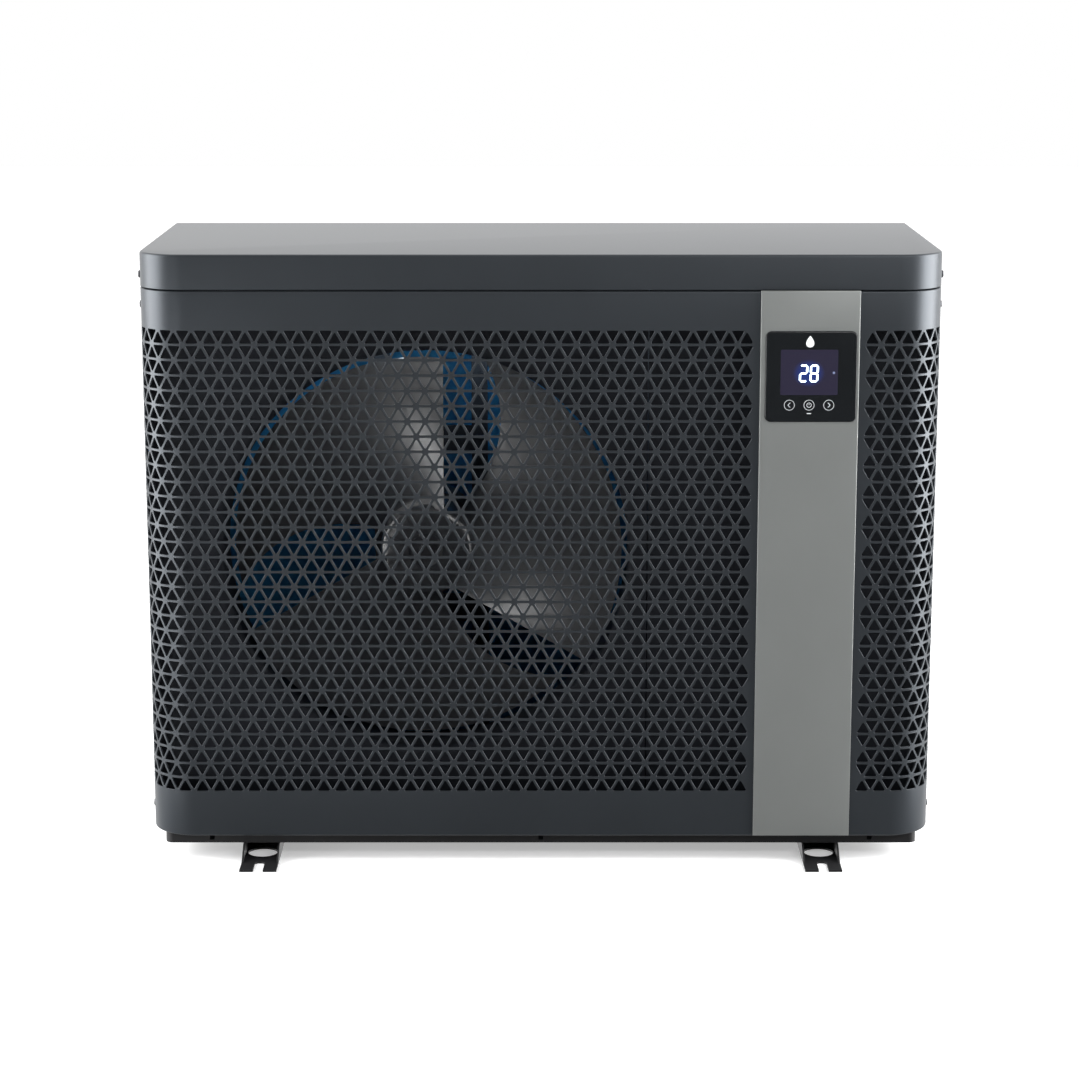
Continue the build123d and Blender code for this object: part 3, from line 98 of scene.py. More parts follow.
# ---- mesh helpers ----
def new_piece(name, points, faces, body="housing", smooth_angle=None):
    """Object from points and faces, riding on a body, smooth shaded below an angle if one is given."""
    mesh = bpy.data.meshes.new(name)
    mesh.from_pydata([tuple(p) for p in points], [], faces)
    mesh.validate()
    mesh.update()
    piece = bpy.data.objects.new(name, mesh)
    bpy.context.scene.collection.objects.link(piece)
    if smooth_angle is not None:
        smooth(piece, smooth_angle)
    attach(piece, body)
    return piece


def smooth(piece, degrees):
    """Smooth shading with edges sharper than the angle kept sharp."""
    mesh = piece.data
    mesh.shade_smooth()
    mesh.set_sharp_from_angle(angle=math.radians(degrees))


class Sheet:
    """Points and faces of a sheet, with points at the same place shared."""

    def __init__(self):
        self.points = []
        self.faces = []
        self.index = {}

    def point(self, x, y, z):
        key = (round(x * 1e7), round(y * 1e7), round(z * 1e7))
        if key not in self.index:
            self.index[key] = len(self.points)
            self.points.append((x, y, z))
        return self.index[key]

    def face(self, corners):
        ids = [self.point(*c) for c in corners]
        ids = [v for i, v in enumerate(ids) if v != ids[i - 1]]
        if len(ids) > 2:
            self.faces.append(ids)

    def rows(self, lower, upper):
        """Quads between two rows of points, the upper row on the left when going along the lower."""
        for i in range(len(lower) - 1):
            self.face([lower[i], lower[i + 1], upper[i + 1], upper[i]])

    def loft(self, sections, closed=True):
        """Quads between successive sections of equal length, which go round if closed."""
        for low, high in zip(sections, sections[1:]):
            count = len(low)
            for i in range(count if closed else count - 1):
                j = (i + 1) % count
                self.face([low[i], low[j], high[j], high[i]])

    def box(self, low, high):
        x0, y0, z0 = low
        x1, y1, z1 = high
        corners = [(x, y, z) for z in (z0, z1) for x, y in ((x0, y0), (x1, y0), (x1, y1), (x0, y1))]
        for face in ((3, 2, 1, 0), (4, 5, 6, 7), (0, 1, 5, 4), (1, 2, 6, 5), (2, 3, 7, 6), (3, 0, 4, 7)):
            self.face([corners[i] for i in face])


def ring(centre, radius, count):
    """Points of a circle about an axis along Y."""
    cx, cy, cz = centre
    angles = [2 * math.pi * i / count for i in range(count)]
    return [(cx + radius * math.cos(a), cy, cz + radius * math.sin(a)) for a in angles]


def lathe(sheet, centre_x, centre_z, profile, count):
    """Turned surface about the Y axis through a centre, from (radius, y) pairs."""
    sheet.loft([ring((centre_x, y, centre_z), radius, count) for radius, y in profile])


def between(a, b, count, last=True):
    """Points from a to b in equal steps, with b itself unless last is off."""
    steps = count + 1 if last else count
    return [(a[0] + (b[0] - a[0]) * i / count, a[1] + (b[1] - a[1]) * i / count) for i in range(steps)]


def rounded_rectangle(x0, x1, z0, z1, radius, steps=8):
    """Outline points of a rounded rectangle, anticlockwise from the lower right corner's arc."""
    corners = ((x1 - radius, z0 + radius, -90), (x1 - radius, z1 - radius, 0),
               (x0 + radius, z1 - radius, 90), (x0 + radius, z0 + radius, 180))
    points = []
    for cx, cz, start in corners:
        for i in range(steps + 1):
            angle = math.radians(start + 90 * i / steps)
            points.append((cx + radius * math.cos(angle), cz + radius * math.sin(angle)))
    return points


def padded_plate(name, outline_at, y_front, y_back, edge, steps=4):
    """Plate facing -Y whose front edge is rounded: outline_at(inset) gives its (x, z) outline."""
    sheet = Sheet()
    sections = [[(x, y_back, z) for x, z in outline_at(0.0)]]
    for i in range(steps + 1):
        angle = math.radians(90 * i / steps)
        inset = edge * (1 - math.cos(angle))
        y = y_front + edge * (1 - math.sin(angle))
        sections.append([(x, y, z) for x, z in outline_at(inset)])
    sheet.loft(sections)
    sheet.face(sections[-1])
    sheet.face(list(reversed(sections[0])))
    return new_piece(name, sheet.points, sheet.faces, "housing", 40)


# ---- materials ----
def nodes_of(name):
    material = bpy.data.materials.new(name)
    material.use_nodes = True
    tree = material.node_tree
    return material, tree, tree.nodes["Principled BSDF"]


def add_noise(tree, scale, detail=3.0, roughness=0.5, stretch=(1, 1, 1)):
    coords = tree.nodes.new("ShaderNodeTexCoord")
    mapping = tree.nodes.new("ShaderNodeMapping")
    mapping.inputs["Scale"].default_value = stretch
    noise = tree.nodes.new("ShaderNodeTexNoise")
    noise.inputs["Scale"].default_value = scale
    noise.inputs["Detail"].default_value = detail
    noise.inputs["Roughness"].default_value = roughness
    tree.links.new(coords.outputs["Object"], mapping.inputs["Vector"])
    tree.links.new(mapping.outputs["Vector"], noise.inputs["Vector"])
    return noise.outputs["Fac"]


def add_range(tree, value, low, high):
    node = tree.nodes.new("ShaderNodeMapRange")
    node.inputs["To Min"].default_value = low
    node.inputs["To Max"].default_value = high
    tree.links.new(value, node.inputs["Value"])
    return node.outputs["Result"]


def add_tint(tree, value, dark, light):
    ramp = tree.nodes.new("ShaderNodeValToRGB")
    ramp.color_ramp.elements[0].position = 0.3
    ramp.color_ramp.elements[1].position = 0.7
    ramp.color_ramp.elements[0].color = (*dark, 1)
    ramp.color_ramp.elements[1].color = (*light, 1)
    tree.links.new(value, ramp.inputs["Fac"])
    return ramp.outputs["Color"]


def add_bump(tree, shader, value, distance, strength=1.0):
    bump = tree.nodes.new("ShaderNodeBump")
    bump.inputs["Distance"].default_value = distance
    bump.inputs["Strength"].default_value = strength
    tree.links.new(value, bump.inputs["Height"])
    tree.links.new(bump.outputs["Normal"], shader.inputs["Normal"])


def finish_material(name, colour, roughness, metallic=0.0, grain=900.0, bump=0.02, spread=0.08,
                    rough_spread=0.06, coat=0.0, stretch=(1, 1, 1), specular=0.5):
    """Surface with a fine grain in its relief and a slow drift in colour and gloss."""
    material, tree, shader = nodes_of(name)
    slow = add_noise(tree, 7.0, 2.0)
    dark = [c * (1 - spread) for c in colour]
    light = [c * (1 + spread) for c in colour]
    tree.links.new(add_tint(tree, slow, dark, light), shader.inputs["Base Color"])
    fine = add_noise(tree, grain, 2.0, 0.6, stretch)
    low = max(roughness - rough_spread, 0.02)
    tree.links.new(add_range(tree, fine, low, roughness + rough_spread), shader.inputs["Roughness"])
    add_bump(tree, shader, fine, bump * MM)
    shader.inputs["Metallic"].default_value = metallic
    shader.inputs["Coat Weight"].default_value = coat
    shader.inputs["Coat Roughness"].default_value = roughness * 0.8
    shader.inputs["Specular IOR Level"].default_value = specular
    return material


def glow_material(name, colour, strength):
    """Glowing surface with a faint unevenness: lit display marks, and printed marks with a painted glow."""
    material, tree, shader = nodes_of(name)
    grain = add_noise(tree, 400.0)
    dark = [c * 0.9 for c in colour]
    tree.links.new(add_tint(tree, grain, dark, colour), shader.inputs["Emission Color"])
    shader.inputs["Base Color"].default_value = (*colour, 1)
    shader.inputs["Emission Strength"].default_value = strength
    shader.inputs["Roughness"].default_value = 0.3
    return material


def display_material():
    """Dark violet-blue display window, lit blue round the digits and fading towards its edges."""
    material, tree, shader = nodes_of("display_window")
    coords = tree.nodes.new("ShaderNodeTexCoord")
    shift = tree.nodes.new("ShaderNodeMapping")
    shift.inputs["Location"].default_value = (-(HEAD_X - 3 * MM), 0, -(HEAD_Z + 5 * MM))
    squash = tree.nodes.new("ShaderNodeMapping")
    squash.inputs["Scale"].default_value = (1 / (30 * MM), 0, 1 / (26 * MM))
    gradient = tree.nodes.new("ShaderNodeTexGradient")
    gradient.gradient_type = "SPHERICAL"
    tree.links.new(coords.outputs["Object"], shift.inputs["Vector"])
    tree.links.new(shift.outputs["Vector"], squash.inputs["Vector"])
    tree.links.new(squash.outputs["Vector"], gradient.inputs["Vector"])
    colours = add_tint(tree, gradient.outputs["Fac"], (0.017, 0.013, 0.034), (0.01, 0.035, 0.22))
    tree.links.new(colours, shader.inputs["Emission Color"])
    shader.inputs["Emission Strength"].default_value = 0.9
    shader.inputs["Base Color"].default_value = (0.008, 0.008, 0.012, 1)
    shader.inputs["Specular IOR Level"].default_value = 0.3
    shader.inputs["Roughness"].default_value = 0.3
    return material


FINISHES = {
    "panel_paint": dict(colour=(0.031, 0.036, 0.042), roughness=0.4, metallic=0.5, grain=1400.0,
                        bump=0.012, spread=0.05),
    "strip_metal": dict(colour=(0.225, 0.235, 0.23), roughness=0.38, metallic=0.55, grain=1800.0,
                        bump=0.008, spread=0.03),
    "black_steel": dict(colour=(0.008, 0.008, 0.009), roughness=0.5, grain=1200.0, bump=0.02),
    "screw_steel": dict(colour=(0.05, 0.05, 0.055), roughness=0.35, metallic=0.8, grain=500.0, bump=0.01),
    "glass_black": dict(colour=(0.007, 0.008, 0.009), roughness=0.16, grain=60.0, bump=0.001, spread=0.1,
                        rough_spread=0.02, specular=0.4),
    "plastic_black": dict(colour=(0.018, 0.018, 0.02), roughness=0.55, grain=1500.0, bump=0.03),
    "lcd_blue": dict(colour=(0.02, 0.03, 0.09), roughness=0.3),
    "circuit_board": dict(colour=(0.02, 0.14, 0.05), roughness=0.4, grain=700.0, bump=0.05, spread=0.3),
    "fan_plastic": dict(colour=(0.009, 0.011, 0.015), roughness=0.33, grain=700.0, bump=0.01,
                        spread=0.08, coat=0.9, specular=1.0),
    # zinc_sheet is near black rather than zinc grey: painted shade for the sheet inside the cabinet, which
    # lies in shadow behind the lattice
    "zinc_sheet": dict(colour=(0.008, 0.01, 0.015), roughness=0.6, metallic=0.1, grain=900.0, bump=0.012,
                       spread=0.1, specular=0.3),
    "machine_black": dict(colour=(0.015, 0.015, 0.016), roughness=0.3, grain=250.0, bump=0.02),
    "fin_blue": dict(colour=(0.04, 0.26, 0.5), roughness=0.4, metallic=0.3, grain=600.0, bump=0.01,
                     spread=0.12),
    "copper": dict(colour=(0.72, 0.36, 0.22), roughness=0.3, metallic=1.0, grain=300.0, bump=0.01,
                   spread=0.15),
    "brass": dict(colour=(0.7, 0.52, 0.24), roughness=0.3, metallic=1.0, grain=300.0, bump=0.01,
                  spread=0.12),
    "shaft_steel": dict(colour=(0.55, 0.55, 0.56), roughness=0.25, metallic=1.0, grain=400.0, bump=0.01),
    "drier_paint": dict(colour=(0.06, 0.18, 0.08), roughness=0.35),
    "coil_plastic": dict(colour=(0.02, 0.02, 0.022), roughness=0.45),
    "pvc_grey": dict(colour=(0.085, 0.09, 0.095), roughness=0.42, grain=800.0, bump=0.02, spread=0.06),
    "titanium": dict(colour=(0.42, 0.41, 0.39), roughness=0.35, metallic=1.0, grain=300.0, bump=0.01),
    "rubber": dict(colour=(0.015, 0.015, 0.015), roughness=0.8, grain=500.0, bump=0.05),
    "sink_metal": dict(colour=(0.6, 0.6, 0.62), roughness=0.35, metallic=1.0, grain=900.0, bump=0.02,
                       stretch=(1, 12, 1)),
    "guard_wire": dict(colour=(0.02, 0.022, 0.024), roughness=0.4, metallic=0.2, grain=900.0, bump=0.02),
}
MATERIALS = {slot: finish_material(slot, **finish) for slot, finish in FINISHES.items()}


def paint(piece, slot):
    piece.data.materials.clear()
    piece.data.materials.append(MATERIALS[slot])
    return piece


def paint_cad_nodes():
    """Every node of the frame takes the material of its record slot."""
    for part in frame["record"]["subparts"]:
        node = frame["nodes"][part["node"]]
        node.data.materials.clear()
        node.data.materials.append(MATERIALS[part["material_slot"]])


# ---- front panel ----
def wrap(along, z, depth):
    """Place on the panel: along its face from the centre, round the corners, and into its thickness."""
    over = abs(along) - FLAT_X
    if over <= 0:
        return (along, FRONT_Y + depth, z)
    side = math.copysign(1.0, along)
    angle = over / CORNER_R
    reach = CORNER_R - depth
    return (side * (FLAT_X + reach * math.sin(angle)), CORNER_Y - reach * math.cos(angle), z)


def bar_nodes(bar):
    """Lattice columns with a node on this bar, in cells from the centre."""
    last = FLAT_CELLS + ARC_CELLS
    if bar % 2:
        return [float(k) for k in range(-last, last + 1)]
    return [k + 0.5 for k in range(-last, last)]


def split_side(a, b):
    """Points from a to b, not counting b, with more of them where the panel bends."""
    bent = max(abs(a[0]), abs(b[0])) > FLAT_X + MM
    steps = BEND_STEPS if bent else 1
    return between(a, b, steps, last=False)


def hole_outline(corners, inset, radius):
    """Rounded outline inside a lattice triangle: one list of arc points for each corner."""
    cx = sum(c[0] for c in corners) / 3
    cz = sum(c[1] for c in corners) / 3
    arcs = []
    for x, z in corners:
        facing = math.atan2(z - cz, x - cx)
        reach = math.hypot(x - cx, z - cz) - 2 * inset - 2 * radius
        arc = []
        for i in range(ARC_STEPS + 1):
            angle = facing + math.radians(-60 + 120 * i / ARC_STEPS)
            arc.append((cx + reach * math.cos(facing) + radius * math.cos(angle),
                        cz + reach * math.sin(facing) + radius * math.sin(angle)))
        arcs.append(arc)
    return arcs


def flat_ring(sheet, corners, arcs, depth, facing_out):
    """Faces between a lattice triangle and its opening, at one depth."""

    def emit(points):
        placed = [wrap(u, z, depth) for u, z in points]
        sheet.face(placed if facing_out else placed[::-1])

    for k in range(3):
        nxt = (k + 1) % 3
        arc = arcs[k]
        for i in range(ARC_STEPS):
            emit([corners[k], arc[i + 1], arc[i]])
        outer = split_side(corners[k], corners[nxt]) + [corners[nxt]]
        a, b = arc[-1], arcs[nxt][0]
        count = len(outer) - 1
        inner = between(a, b, count)
        for i in range(count):
            emit([outer[i], outer[i + 1], inner[i + 1], inner[i]])


def outline_points(corners, arcs):
    """Closed outline of an opening, split along its sides as the lattice triangle is."""
    points = []
    for k in range(3):
        nxt = (k + 1) % 3
        points += arcs[k]
        a, b = arcs[k][-1], arcs[nxt][0]
        count = len(split_side(corners[k], corners[nxt]))
        points += between(a, b, count, last=False)[1:]
    return points


def lattice_cell(sheet, corners, open_cell):
    """One lattice triangle of the panel, front, back and the walls of its opening."""
    if not open_cell:
        outline = [p for k in range(3) for p in split_side(corners[k], corners[(k + 1) % 3])]
        sheet.face([wrap(u, z, 0) for u, z in outline])
        sheet.face([wrap(u, z, PANEL_T) for u, z in reversed(outline)])
        return
    wide = hole_outline(corners, BAR_HALF - HOLE_BEVEL, HOLE_R + HOLE_BEVEL)
    narrow = hole_outline(corners, BAR_HALF, HOLE_R)
    flat_ring(sheet, corners, wide, 0.0, True)
    flat_ring(sheet, corners, narrow, PANEL_T, False)
    front = [wrap(u, z, 0.0) for u, z in outline_points(corners, wide)]
    lip = [wrap(u, z, HOLE_BEVEL) for u, z in outline_points(corners, narrow)]
    back = [wrap(u, z, PANEL_T) for u, z in outline_points(corners, narrow)]
    sheet.loft([lip, front])
    sheet.loft([back, lip])


def is_open(columns):
    """Whether the lattice triangle that spans these columns is an opening."""
    return max(columns) <= MAIN_END or min(columns) >= RIGHT_START


def bar_z(bar):
    return LATTICE_TOP - bar * ROW


def lattice_row(sheet, row):
    """All triangles between one bar and the next, with the filler at both ends."""
    high, low = bar_z(row), bar_z(row + 1)
    upper, lower = bar_nodes(row), bar_nodes(row + 1)
    for a, b in zip(lower, lower[1:]):
        tip = (a + b) / 2
        if tip in upper:
            corners = [(a * CELL, low), (b * CELL, low), (tip * CELL, high)]
            lattice_cell(sheet, corners, is_open((a, b)))
    for a, b in zip(upper, upper[1:]):
        tip = (a + b) / 2
        if tip in lower:
            corners = [(b * CELL, high), (a * CELL, high), (tip * CELL, low)]
            lattice_cell(sheet, corners, is_open((a, b)))
    for side in (-1, 1):
        end = side * PANEL_END
        quad = [(side * lower[-1] * CELL, low), (end, low), (end, high), (side * upper[-1] * CELL, high)]
        outline = [p for k in range(4) for p in split_side(quad[k], quad[(k + 1) % 4])]
        if side < 0:
            outline.reverse()
        sheet.face([wrap(u, z, 0) for u, z in outline])
        sheet.face([wrap(u, z, PANEL_T) for u, z in reversed(outline)])


def band_columns(bar):
    """Points along a bar from one end of the panel to the other."""
    stations = [-PANEL_END] + [k * CELL for k in bar_nodes(bar)] + [PANEL_END]
    columns = []
    for a, b in zip(stations, stations[1:]):
        columns += [p[0] for p in split_side((a, 0), (b, 0))]
    return columns + [PANEL_END]


def band(sheet, bar, edge_z, radius, up):
    """Plain band between the lattice and the panel's rounded top or bottom edge, and its inside."""
    steps = 5
    sign = 1 if up else -1
    start = bar_z(bar)
    profile = [(start, 0.0)]
    for i in range(steps + 1):
        angle = math.radians(90 * i / steps)
        profile.append((edge_z - sign * radius * (1 - math.sin(angle)), radius * (1 - math.cos(angle))))
    profile += [(edge_z, PANEL_T), (start, PANEL_T)]
    columns = band_columns(bar)
    rows = [[wrap(u, z, d) for u in columns] for z, d in profile]
    for low, high in zip(rows, rows[1:]):
        if up:
            sheet.rows(low, high)
        else:
            sheet.rows(high, low)
    for column, flip in ((0, up), (-1, not up)):
        cap = [row[column] for row in rows]
        sheet.face(cap[::-1] if flip else cap)


def panel_ends(sheet):
    """Closing faces of the panel's two vertical ends beside the lattice."""
    for side in (-1, 1):
        end = side * PANEL_END
        for row in range(ROWS):
            high, low = bar_z(row), bar_z(row + 1)
            face = [wrap(end, z, depth)
                    for z, depth in ((low, 0), (low, PANEL_T), (high, PANEL_T), (high, 0))]
            sheet.face(face if side > 0 else face[::-1])


def make_front_panel():
    top_edge = 2.0 * MM
    bottom_edge = 2.2 * MM
    sheet = Sheet()
    for row in range(ROWS):
        lattice_row(sheet, row)
    band(sheet, 0, PANEL_Z1, top_edge, True)
    band(sheet, ROWS, PANEL_Z0, bottom_edge, False)
    panel_ends(sheet)
    panel = new_piece("front_panel", sheet.points, sheet.faces, "housing", 30)
    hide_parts("front_grille", "corner_grille_left", "corner_grille_right")
    return paint(panel, "panel_paint")


# ---- lid ----
def plan_arc(cx, cy, radius, start, steps):
    """Quarter circle in plan, from a starting angle in degrees."""
    angles = [math.radians(start + 90 * i / steps) for i in range(steps + 1)]
    return [(cx + radius * math.cos(a), cy + radius * math.sin(a)) for a in angles]


def plan_outline(inset):
    """Plan of the cabinet, inset evenly: round front corners, nearly square rear ones."""
    front_steps = 20
    rear_steps = 4
    reach = CORNER_R - inset
    rear = max(3.0 * MM - inset, 0.2 * MM)
    rear_x = HALF_W - inset - rear
    rear_y = BACK_Y - inset - rear
    right_front = plan_arc(FLAT_X, CORNER_Y, reach, 270, front_steps)
    right_rear = plan_arc(rear_x, rear_y, rear, 0, rear_steps)
    left_rear = plan_arc(-rear_x, rear_y, rear, 90, rear_steps)
    left_front = plan_arc(-FLAT_X, CORNER_Y, reach, 180, front_steps)
    return right_front + right_rear + left_rear + left_front


def make_lid():
    """Folded cover: hollow below, with a rounded top edge and a small rolled lower edge."""
    edge = 3.5 * MM
    wall = 1.5 * MM
    roll = 0.4 * MM
    steps = 6
    sheet = Sheet()
    profile = [(wall, LID_Z1 - wall), (wall, LID_Z0 + roll), (wall - roll, LID_Z0), (roll, LID_Z0),
               (0.0, LID_Z0 + roll)]
    for i in range(steps + 1):
        angle = math.radians(90 * i / steps)
        profile.append((edge * (1 - math.cos(angle)), LID_Z1 - edge * (1 - math.sin(angle))))
    sections = [[(x, y, z) for x, y in plan_outline(inset)] for inset, z in profile]
    sheet.loft(sections)
    sheet.face(sections[-1])
    sheet.face(sections[0][::-1])
    lid = new_piece("lid_cover", sheet.points, sheet.faces, "housing", 30)
    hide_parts("lid")
    return paint(lid, "panel_paint")


# ---- control strip and head ----
def make_strip():
    """Metallic strip with bevelled long edges and an opening for the control head."""
    bevel = 1.3 * MM
    hole = 0.3 * MM
    x0, y0, z0 = STRIP_LOW
    x1, y1, z1 = STRIP_HIGH
    half = (GLASS_HIGH[0] - GLASS_LOW[0]) / 2 + hole
    inner = rounded_rectangle(HEAD_X - half, HEAD_X + half, HEAD_Z - half, HEAD_Z + half, HEAD_CORNER_R)
    sheet = Sheet()

    def frame_outline(inset):
        left, right, low, high = x0 + inset, x1 - inset, z0 + inset, z1 - inset
        return [(right, low), (right, high), (left, high), (left, low)]

    outer = frame_outline(bevel)
    quarter = len(inner) // 4
    for k in range(4):
        arc = inner[k * quarter:(k + 1) * quarter]
        for a, b in zip(arc, arc[1:]):
            sheet.face([(outer[k][0], y0, outer[k][1]), (b[0], y0, b[1]), (a[0], y0, a[1])])
        nxt = (k + 1) % 4
        first = inner[nxt * quarter]
        last = arc[-1]
        sheet.face([(outer[k][0], y0, outer[k][1]), (outer[nxt][0], y0, outer[nxt][1]),
                    (first[0], y0, first[1]), (last[0], y0, last[1])])
    steps = 4
    sections = [[(x, y1, z) for x, z in frame_outline(0.0)]]
    for i in range(steps + 1):
        angle = math.radians(90 * i / steps)
        sections.append([(x, y0 + bevel * (1 - math.sin(angle)), z)
                         for x, z in frame_outline(bevel * (1 - math.cos(angle)))])
    sheet.loft(sections)
    sheet.loft([[(x, y0, z) for x, z in inner], [(x, y1, z) for x, z in inner]][::-1])
    strip = new_piece("strip_cover", sheet.points, sheet.faces, "housing", 30)
    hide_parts("control_strip")
    return paint(strip, "strip_metal")


def make_glass():
    edge = (GLASS_HIGH[1] - GLASS_LOW[1]) * 0.9

    def outline(inset):
        return rounded_rectangle(GLASS_LOW[0] + inset, GLASS_HIGH[0] - inset, GLASS_LOW[2] + inset,
                                 GLASS_HIGH[2] - inset, HEAD_CORNER_R - inset)

    glass = padded_plate("control_glass", outline, GLASS_LOW[1] + INK_T, GLASS_HIGH[1], edge)
    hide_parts("hmi_glass")
    return paint(glass, "glass_black")


def ink_plate(name, outlines, material, lift=0.0):
    """Thin printed or lit marks on the glass, each from an anticlockwise (x, z) outline."""
    sheet = Sheet()
    front = GLASS_LOW[1] + 0.02 * MM - lift
    back = GLASS_LOW[1] + INK_T + 0.01 * MM
    for outline in outlines:
        low = [(x, back, z) for x, z in outline]
        high = [(x, front, z) for x, z in outline]
        sheet.loft([low, high])
        sheet.face(high)
    piece = new_piece(name, sheet.points, sheet.faces, "housing")
    piece.data.materials.append(material)
    return piece


def bar_outline(a, b, width):
    """Segment of a digit: a bar from a to b with pointed ends."""
    dx, dz = b[0] - a[0], b[1] - a[1]
    length = math.hypot(dx, dz)
    ux, uz = dx / length, dz / length
    h = width / 2
    along = [(0, 0), (h, -h), (length - h, -h), (length, 0), (length - h, h), (h, h)]
    return [(a[0] + ux * s - uz * t, a[1] + uz * s + ux * t) for s, t in along]


SEGMENTS = {"2": "abged", "8": "abcdefg"}
DIGIT_LEAN = 0.04


def digit_outlines(character, x, z, width, height, stroke):
    """Seven-segment digit with its lower left corner at (x, z)."""
    gap = stroke * 0.08
    mid = height / 2
    lines = {
        "a": ((0, height), (width, height)),
        "b": ((width, height), (width, mid)),
        "c": ((width, mid), (width, 0)),
        "d": ((0, 0), (width, 0)),
        "e": ((0, mid), (0, 0)),
        "f": ((0, height), (0, mid)),
        "g": ((0, mid), (width, mid)),
    }
    outlines = []
    for name in SEGMENTS[character]:
        (ax, az), (bx, bz) = lines[name]
        length = math.hypot(bx - ax, bz - az)
        ux, uz = (bx - ax) / length * gap, (bz - az) / length * gap
        points = bar_outline((ax + ux, az + uz), (bx - ux, bz - uz), stroke)
        outlines.append([(x + px + DIGIT_LEAN * pz, z + pz) for px, pz in points])
    return outlines


def ring_outline(cx, cz, radius, width, start=0.0, turn=360.0, steps=40):
    """Annular strips that together make a ring or part of one."""
    outlines = []
    for i in range(steps):
        a = math.radians(start + turn * i / steps)
        b = math.radians(start + turn * (i + 1) / steps)
        inner, outer = radius - width / 2, radius + width / 2
        outlines.append([(cx + inner * math.cos(a), cz + inner * math.sin(a)),
                         (cx + outer * math.cos(a), cz + outer * math.sin(a)),
                         (cx + outer * math.cos(b), cz + outer * math.sin(b)),
                         (cx + inner * math.cos(b), cz + inner * math.sin(b))])
    return outlines


def drop_outline(cx, cz, size, steps=24):
    """Water drop, a plain generic mark."""
    points = []
    for i in range(steps):
        turn = -2 * math.pi * i / steps
        across = size * 0.9 * math.sin(turn) * abs(math.sin(turn / 2))
        points.append((cx - across, cz + size * math.cos(turn)))
    return points[::-1]


def make_display():
    margin, corner = 2 * MM, 1.5 * MM
    window = rounded_rectangle(LCD_LOW[0] + margin, LCD_HIGH[0] - margin, LCD_LOW[2] + margin,
                               LCD_HIGH[2] - margin, corner, 3)
    ink_plate("display_window", [window], display_material())
    width, height, stroke, pitch = 8.8 * MM, 20.5 * MM, 2.6 * MM, 13.6 * MM
    left = HEAD_X - 14.6 * MM
    low = HEAD_Z - 5.6 * MM
    raised = 0.012 * MM
    lit = glow_material("digit_light", (0.62, 0.80, 1.0), 2.6)
    digits = digit_outlines("2", left, low, width, height, stroke)
    digits += digit_outlines("8", left + pitch, low, width, height, stroke)
    ink_plate("display_digits", digits, lit, raised)
    dot_x, dot_z, dot_r, dot_steps = HEAD_X + 29.3 * MM, HEAD_Z + 5.5 * MM, 1.6 * MM, 16
    dot = [(dot_x + dot_r * math.cos(a), dot_z + dot_r * math.sin(a))
           for a in (2 * math.pi * i / dot_steps for i in range(dot_steps))]
    ink_plate("display_dot", [dot], glow_material("dot_light", (0.10, 0.12, 0.2), 0.8), raised)


def make_key_marks():
    """Printed touch key rings with arrow and power marks, an underline, and the drop at the top, all with a
    painted glow.
    """
    middle = HEAD_X - 2.0 * MM
    z = HEAD_Z - 36.7 * MM
    step = 25.5 * MM
    ring_r, ring_line, mark_line = 6.6 * MM, 0.5 * MM, 0.65 * MM
    marks = []
    for index in (-1, 0, 1):
        cx = middle + index * step
        marks += ring_outline(cx, z, ring_r, ring_line)
        if index:
            tip = cx + index * 1.9 * MM
            back = cx - index * 1.3 * MM
            for side in (-1, 1):
                marks.append(bar_outline((tip, z), (back, z + side * 3.2 * MM), mark_line))
        else:
            marks += ring_outline(cx, z, 2.9 * MM, 0.6 * MM, 120, 300, 24)
            marks.append(bar_outline((cx, z), (cx, z + 4.0 * MM), mark_line))
    under_z, under_half = z - 11 * MM, 3 * MM
    marks.append(bar_outline((middle - under_half, under_z), (middle + under_half, under_z), 1.1 * MM))
    # Grey print with a faint emission: a painted glow that keeps the key marks light on the dark glass
    ink_plate("key_marks", marks, glow_material("key_print_painted_glow", (0.5, 0.52, 0.54), 0.25))
    # Light print with a faint emission: a painted glow on the drop
    ink_plate("drop_mark", [drop_outline(middle, HEAD_Z + 46 * MM, 7.5 * MM)],
              glow_material("drop_print_painted_glow", (0.62, 0.64, 0.65), 0.35))


# ---- fan ----
BLADES = 3
TIP_R = 262 * MM
ROOT_R = 58 * MM
STRAIGHT_OFFSET = 24 * MM
REAR_EDGE_DEG = (46.0, 36.0, 17.0)


def rear_edge_angle(t):
    """Angle of the blade's curved rear edge from root to tip, clockwise from vertical."""
    root, middle, tip = REAR_EDGE_DEG
    s = 2 * t - 1
    return middle + (tip - root) / 2 * s + ((tip + root) / 2 - middle) * s * s


def blade_grid(turn, radial_steps, chord_steps):
    """Mean surface of one blade: rows from root to tip, points from the rear to the front edge."""
    y_front = FAN_LOW[1] + 4 * MM
    y_back = FAN_HIGH[1] - 8 * MM
    camber = 9 * MM
    rows = []
    for i in range(radial_steps + 1):
        t = i / radial_steps
        radius = ROOT_R + (TIP_R - ROOT_R) * t
        start = rear_edge_angle(t)
        end = 360 / BLADES + math.degrees(math.asin(STRAIGHT_OFFSET / radius))
        row = []
        for j in range(chord_steps + 1):
            s = j / chord_steps
            angle = math.radians(start + (end - start) * s + turn)
            y = y_back + (y_front - y_back) * s + camber * math.sin(math.pi * s)
            row.append(Vector((FAN_X + radius * math.sin(angle), y, FAN_Z + radius * math.cos(angle))))
        rows.append(row)
    return rows


def grid_normals(rows):
    normals = []
    for i, row in enumerate(rows):
        line = []
        for j in range(len(row)):
            along = rows[min(i + 1, len(rows) - 1)][j] - rows[max(i - 1, 0)][j]
            across = row[min(j + 1, len(row) - 1)] - row[max(j - 1, 0)]
            line.append(along.cross(across).normalized())
        normals.append(line)
    return normals


